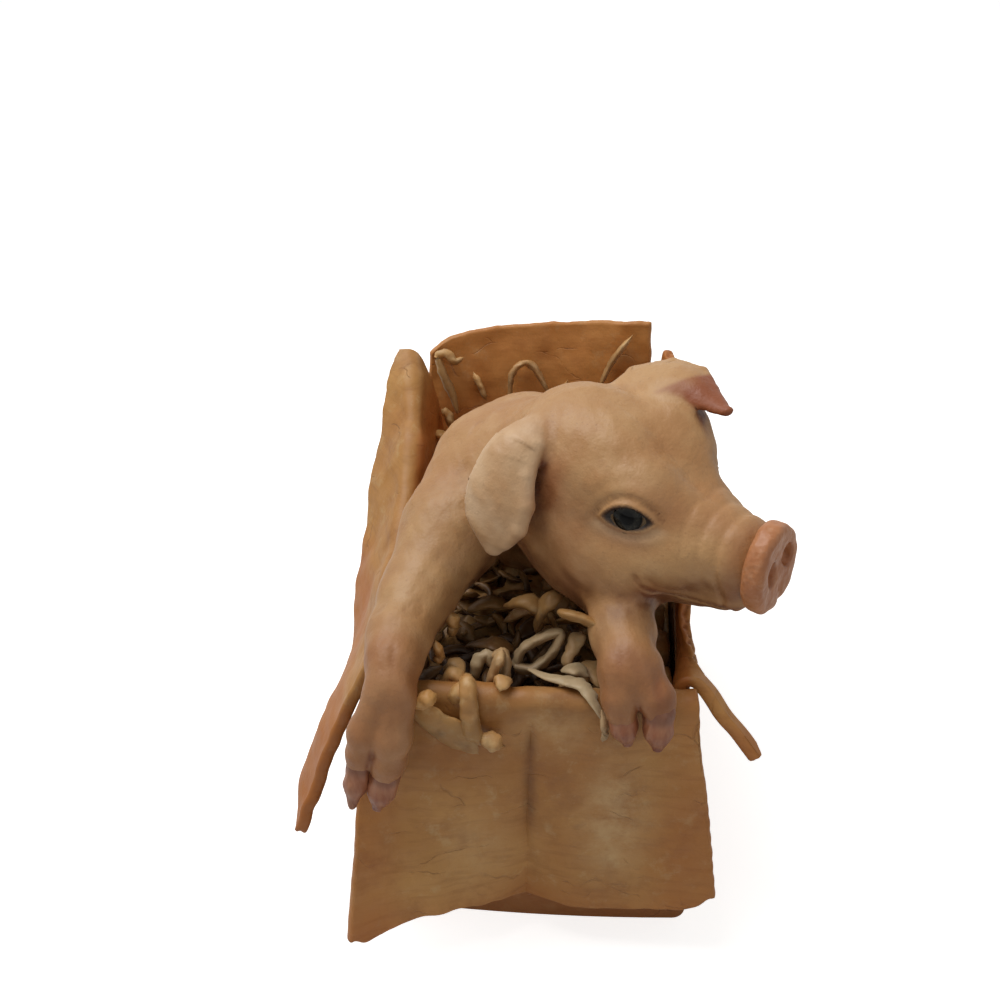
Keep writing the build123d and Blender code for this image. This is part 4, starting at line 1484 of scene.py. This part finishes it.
def strew_shavings():
    """Small shavings strewn over the heap by Geometry Nodes."""
    x, y = np.meshgrid(np.linspace(-25.5, 25.5, 40), np.linspace(-44.0, 43.0, 60), indexing="ij")
    points = np.stack([x, y, bed_height(x, y) + 0.6], -1).reshape(-1, 3)
    _, quads = grid_faces(*x.shape)
    bed = in_scene("strewn_bed", smooth_mesh("strewn_bed", points, quads.tolist()))
    folder = shaving_kinds()
    modifier = bed.modifiers.new("strewn_shavings", "NODES")
    modifier.node_group, inputs = strewing_tree(folder)
    for name, value in STREWING.items():
        modifier[inputs[name]] = value
    depsgraph = bpy.context.evaluated_depsgraph_get()
    mesh = bpy.data.meshes.new_from_object(bed.evaluated_get(depsgraph), depsgraph=depsgraph)
    bed.modifiers.clear()
    bpy.data.objects.remove(bed)
    for item in list(folder.objects):
        bpy.data.objects.remove(item)
    bpy.data.collections.remove(folder)
    x, y, z = points_of(mesh).T
    # Painted shade: darker low in the heap and in the hollow before the chest
    deep = np.clip(0.75 - 0.28 * (z - bed_height(x, y)), 0, 1)
    set_mark(mesh, "hollow", np.clip(0.3 + deep + 0.6 * cavity(x, y, 9.0), 0, 0.96))
    mesh.polygons.foreach_set("use_smooth", [True] * len(mesh.polygons))
    piece = in_scene("strewn_shavings", mesh)
    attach(piece, "root")


strew_shavings()


# The larger shavings, laid one by one:
# (width, thickness, taper, paleness, painted shade, the way the width lies, then the points of its
# path)
TOWARDS = (0.1, -0.75, 0.6)
FRONT_CURLS = [
    (3.8, 3, 0.7, 0.1, 0, TOWARDS, (-16.9, -44.5, 59), (-15.3, -45.5, 63.7), (-13.5, -46, 61.7)),
    (4.8, 2, 0.3, 0.3, 0, TOWARDS, (-8.5, -46, 62), (-6.8, -45, 66.3), (-5.9, -44, 69)),
    (4.4, 2.4, 0.5, 0, 0.4, None, (0.2, -34, 66.6), (2, -33, 72), (5.1, -32, 73.9)),
    (4, 2.4, 0.5, 0, 0.45, None, (-6.1, -30, 68.6), (-1.2, -32, 71.5), (2.5, -33, 67.4)),
    (
        3.6, 1.9, 1, 0.6, 0, TOWARDS, (-3.7, -37.6, 59.6), (-2.4, -36.2, 62.6), (1.6, -35, 65.2),
        (4.8, -34.6, 65.8), (3.6, -36.8, 62.8), (0, -38.4, 60), (-3.5, -37.8, 59.4),
    ),
    (2.8, 1.5, 0.5, 0.3, 0.1, None, (9, -33.6, 65.6), (7.8, -36.8, 65), (6, -40, 62.4)),
    (
        3, 2.4, 0.7, 0.75, 0.1, TOWARDS, (-11.6, -42.2, 59.6), (-10.8, -41.2, 63.4),
        (-9, -40.4, 64.6), (-7.6, -41.6, 62.2),
    ),
    (
        3.6, 2.2, 0.7, 0.35, 0, TOWARDS, (-8, -41, 64.4), (-6, -40.6, 65.2), (-5.2, -42.6, 62.8),
        (-6.4, -45, 60.8), (-8.8, -45.4, 60.8),
    ),
    (
        3.6, 3, 0.7, 0.2, 0.05, TOWARDS, (-16.8, -41.4, 60.2), (-15.4, -41.8, 62.6),
        (-13.8, -42.6, 60.8),
    ),
    (
        3.8, 3.2, 0.7, 0.1, 0, TOWARDS, (-15, -45.6, 60.6), (-13.2, -46.2, 62.2),
        (-11.4, -46.6, 60.8),
    ),
    (2.6, 2.4, 0.7, 0.1, 0.1, None, (-17, -47.4, 62.2), (-16.4, -48.2, 59.8)),
    (2.8, 2.2, 0.6, 0, 0.2, None, (-17.4, -36.4, 71.2), (-15.9, -37, 69.2), (-16.6, -37.2, 66.6)),
    (2, 1.8, 0.6, 0, 0.1, None, (-18.6, -43.8, 70), (-17.9, -44.6, 67.6), (-18.4, -44.6, 65.8)),
    (3.4, 2.8, 0.8, 0, 0, None, (-21.6, -55.8, 65.4), (-19.4, -56.2, 66.6), (-17.6, -56.2, 67.8)),
    (4, 2.2, 0.5, 0, 0.45, None, (-14.6, -22, 60.6), (-10, -21.4, 62.6), (-5.4, -20.6, 60.6)),
    (3.4, 2.4, 0.5, 0, 0.4, None, (-6.4, -26.2, 61.8), (-1, -24.6, 64), (4.4, -25, 61.4)),
    (
        3.6, 1.8, 0.7, 0.1, 0.35, TOWARDS, (0.6, -28.6, 60.6), (1.2, -28, 63.6), (3, -27.8, 64.2),
        (4.4, -28.6, 61.2),
    ),
    (3, 1.8, 0.5, 0, 0.5, None, (5, -20.4, 65), (4.6, -24.6, 61.6)),
]
FRONT_FLAKES = [
    (6.6, 2, 0.3, 0, 0.3, TOWARDS, (4.5, -40, 75.7), (9.6, -42.5, 76.1), (14.8, -43, 73.4)),
    (
        6.4, 1.5, 0.1, 0, 0, (1, -0.2, 1.1), (-21, -54.4, 64), (-18.4, -55, 60.8),
        (-14.6, -55.2, 57.8), (-9.6, -56, 53.4),
    ),
    (
        6.4, 1.6, 0.15, 0, 0.4, (0.1, -0.7, 0.7), (2.6, -25.4, 60.8), (8.8, -27, 63.2),
        (15.6, -29, 61),
    ),
    (3.6, 1.3, 0.3, 0.7, 0, None, (5.6, -43.6, 64.4), (8.2, -44.4, 65.6), (10.6, -45.4, 64.8)),
    (4.4, 1.4, 0.2, 0.2, 0.25, None, (10.6, -38, 62), (12.2, -42, 63.8), (12.6, -46, 63)),
    (4, 2.2, 0.8, 0, 0.1, None, (24.2, -46, 57), (24.9, -41, 61.6), (24.4, -35, 59)),
    (4.2, 2.2, 0.8, 0, 0.2, None, (24.2, -36, 58), (24.9, -30, 61.4), (24.4, -24, 58.6)),
    (4, 2, 0.8, 0, 0.3, None, (24, -26, 58), (24.8, -20, 61), (24, -14, 58)),
    (5, 1.5, 0.2, 0, 0.7, None, (-14, -30, 58), (-9, -32, 60.5), (-4, -31, 58.5)),
]
RIM_STRANDS = [
    (4, 3.2, 0.7, 0.05, 0, None, (-14.4, -51.5, 62.8), (-12.6, -52, 65.7), (-10.6, -52, 63.8)),
    (
        3.4, 3, 0.7, 0.05, 0, None, (-12.4, -50.2, 67), (-11.6, -52.8, 67), (-11.2, -55.2, 63.4),
        (-10.4, -56.4, 59.6), (-8.6, -56.6, 57.6),
    ),
    (3.4, 3, 0.7, 0.1, 0, None, (-9, -56.6, 57.8), (-7.2, -56.8, 57.8), (-5, -56.6, 56.6)),
    (
        2.8, 1.2, 0.4, 0.75, 0, None, (-0.6, -44, 64.6), (2.6, -47.2, 65.8), (6.4, -48.8, 66.4),
        (9.6, -50.2, 66.6), (11.6, -53.2, 65.8), (13.4, -55.4, 63.4),
    ),
    (2.8, 1.8, 0.5, 0.1, 0.05, None, (-6.8, -47.6, 64.2), (-5.2, -50, 66.6), (-5.6, -52.4, 66.6)),
    (1.8, 1.2, 0.4, 0.5, 0, None, (13.2, -54.6, 64.6), (14.2, -56, 61.2), (13.8, -56.2, 59)),
]
BACK_CURLS = [
    (
        2.4, 2.2, 0.6, 0.1, 0, None, (-22.7, 48.5, 85.3), (-24.7, 48.2, 84.6),
        (-26.8, 48.5, 86.6), (-28.8, 48.4, 85.2), (-27, 47.2, 80.2), (-25.2, 46.4, 76.1),
        (-23.9, 45, 72.3),
    ),
    (
        2.6, 1.5, 0.9, 0.15, 0, TOWARDS, (-10.4, 46.5, 75.5), (-10, 48.5, 81.3), (-7, 49.5, 84),
        (-4.2, 49, 82.7), (-1, 46.5, 78.1),
    ),
    (2.6, 2.2, 0.6, 0.1, 0.1, None, (-27, 40.2, 74.6), (-25.6, 40.4, 73), (-24.8, 40, 70)),
    (4, 2.4, 0.5, 0, 0.3, None, (-24, 30, 62), (-20, 33, 65), (-15, 32, 62.5)),
    (3.4, 2.2, 0.6, 0, 0.2, None, (6, 44, 66), (11, 45, 70), (17, 44, 66.5)),
]
BACK_FLAKES = [
    (3.4, 1.6, 0.2, 0.1, 0, TOWARDS, (-19.8, 49, 81), (-18.2, 48, 77.8), (-16.5, 46.5, 74.7)),
    (3.6, 1.5, 0.2, 0.1, 0, TOWARDS, (12.4, 46.5, 79.8), (15.1, 48.8, 85.4), (19.7, 50, 92.2)),
    (2.6, 1.8, 0.4, 0.1, 0.1, None, (-28, 30, 67.6), (-26.4, 30, 66.4), (-25.8, 30.2, 64.4)),
    (3.4, 1.8, 0.4, 0, 0.1, None, (-29, 36, 70.4), (-26.8, 36, 69.8), (-23.8, 36.4, 68.2)),
    (4.6, 1.5, 0.15, 0, 0.2, TOWARDS, (-4, 42, 66), (1, 46.5, 74), (4, 48, 80)),
]


def lay(name, node, strips):
    """Shavings laid along their paths, joined as one piece of the packing."""
    points, faces, chalk, hollow = [], [], [], []
    count = 0
    for number, (width, thick, taper, chalky, shade, wide, *path) in enumerate(strips):
        ends = taper if taper == 1 else 0.6 * taper
        size = 1.15 * width, 1.1 * thick, 6 * len(path), 18
        strip, quads = shaving(path, *size, taper=ends, seed=number, wide=wide)
        quads = outward(strip, quads)
        strip = strip + 0.3 * ripple(strip, 2.4, number)[:, None] * unit(strip - strip.mean(0))
        faces += [tuple(i + count for i in face) for face in quads]
        count += len(strip)
        points.append(strip)
        # Painted shade: each shaving darker towards its lowest points, and whole shavings by the
        # shade column
        low = step_up(strip[:, 2].max() - strip[:, 2], 1.0, 6.0)
        chalk.append(np.full(len(strip), chalky))
        hollow.append(np.clip(shade + 0.35 * low, 0, 1))
    marks = {"chalk": np.concatenate(chalk), "hollow": np.concatenate(hollow)}
    make_piece(name, np.concatenate(points), faces, STRAW, node, marks)


for name, node, strips in (
    ("front_curls", "packing_curls_front", FRONT_CURLS),
    ("front_flakes", "packing_flakes_front", FRONT_FLAKES),
    ("rim_strands", "packing_strands", RIM_STRANDS),
    ("back_curls", "packing_curls_back", BACK_CURLS),
    ("back_flakes", "packing_flakes_back", BACK_FLAKES),
):
    lay(name, node, strips)


# Stage, light and camera
FLOOR_HALF = 4.0
FLOOR_GLOW = 0.75
SKY_LIGHT = 0.27
SKY_TINT = (1.0, 0.985, 0.96, 1)
LAMPS = (
    # (name, place, size, power)
    ("key", (-0.24, 0.06, 0.62), 0.45, 2.9),
    ("fill", (0.5, -0.5, 0.35), 0.5, 0.35),
)
LAMP_TARGET = (0, 0, 0.06)
LENS_MM = 40.32
CAMERA_PLACE = (0.0057, -0.2074, 0.2096)
CAMERA_TURN = (radians(57), 0, radians(4.2))


def make_floor():
    corners = [(-1, -1, 0), (1, -1, 0), (1, 1, 0), (-1, 1, 0)]
    mesh = bpy.data.meshes.new("floor")
    mesh.from_pydata([[FLOOR_HALF * c for c in corner] for corner in corners], [], [(0, 1, 2, 3)])
    in_scene("floor", mesh)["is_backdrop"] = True
    material = bpy.data.materials.new("pale_floor")
    material.use_nodes = True
    tree = material.node_tree
    shader = tree.nodes["Principled BSDF"]
    seen = add_node(tree, "ShaderNodeLightPath").outputs["Is Camera Ray"]
    glow = add_node(tree, "ShaderNodeMath", {"operation": "MULTIPLY"}, i0=seen, i1=FLOOR_GLOW)
    tree.links.new(glow.outputs[0], shader.inputs["Emission Strength"])
    for key, value in (
        ("Base Color", (0.86, 0.85, 0.83, 1)),
        ("Roughness", 0.9),
        ("Specular IOR Level", 0.1),
        ("Emission Color", (1, 1, 1, 1)),
    ):
        shader.inputs[key].default_value = value
    mesh.materials.append(material)


def make_sky():
    """Soft light from all round, which the camera and the gloss see as white."""
    world = bpy.data.worlds.new("studio")
    bpy.context.scene.world = world
    world.use_nodes = True
    tree = world.node_tree
    back = tree.nodes["Background"]
    back.inputs["Color"].default_value = SKY_TINT
    ray = add_node(tree, "ShaderNodeLightPath").outputs
    seen = add_node(
        tree, "ShaderNodeMath", {"operation": "MAXIMUM"},
        i0=ray["Is Camera Ray"], i1=ray["Is Glossy Ray"],
    )
    level = add_node(
        tree, "ShaderNodeMapRange", Value=seen.outputs[0], To_Min=SKY_LIGHT, To_Max=1.0
    )
    tree.links.new(level.outputs[0], back.inputs["Strength"])


def make_lamps():
    for name, place, size, power in LAMPS:
        light = bpy.data.lights.new(name, "AREA")
        light.size = size
        light.energy = power
        lamp = in_scene(name, light)
        lamp.location = place
        way = Vector(LAMP_TARGET) - Vector(place)
        lamp.rotation_euler = way.to_track_quat("-Z", "Y").to_euler()


def make_camera():
    camera = bpy.data.cameras.new("camera")
    camera.sensor_width = 36.0
    camera.lens = LENS_MM
    camera.clip_start = 0.01
    eye = in_scene("camera", camera)
    eye.location = CAMERA_PLACE
    eye.rotation_euler = CAMERA_TURN
    bpy.context.scene.camera = eye
    bpy.context.scene.view_settings.view_transform = "Standard"


make_floor()
make_sky()
make_lamps()
make_camera()
boxes = [[list(map(float, corner)) for corner in box] for box in (cad_box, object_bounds())]
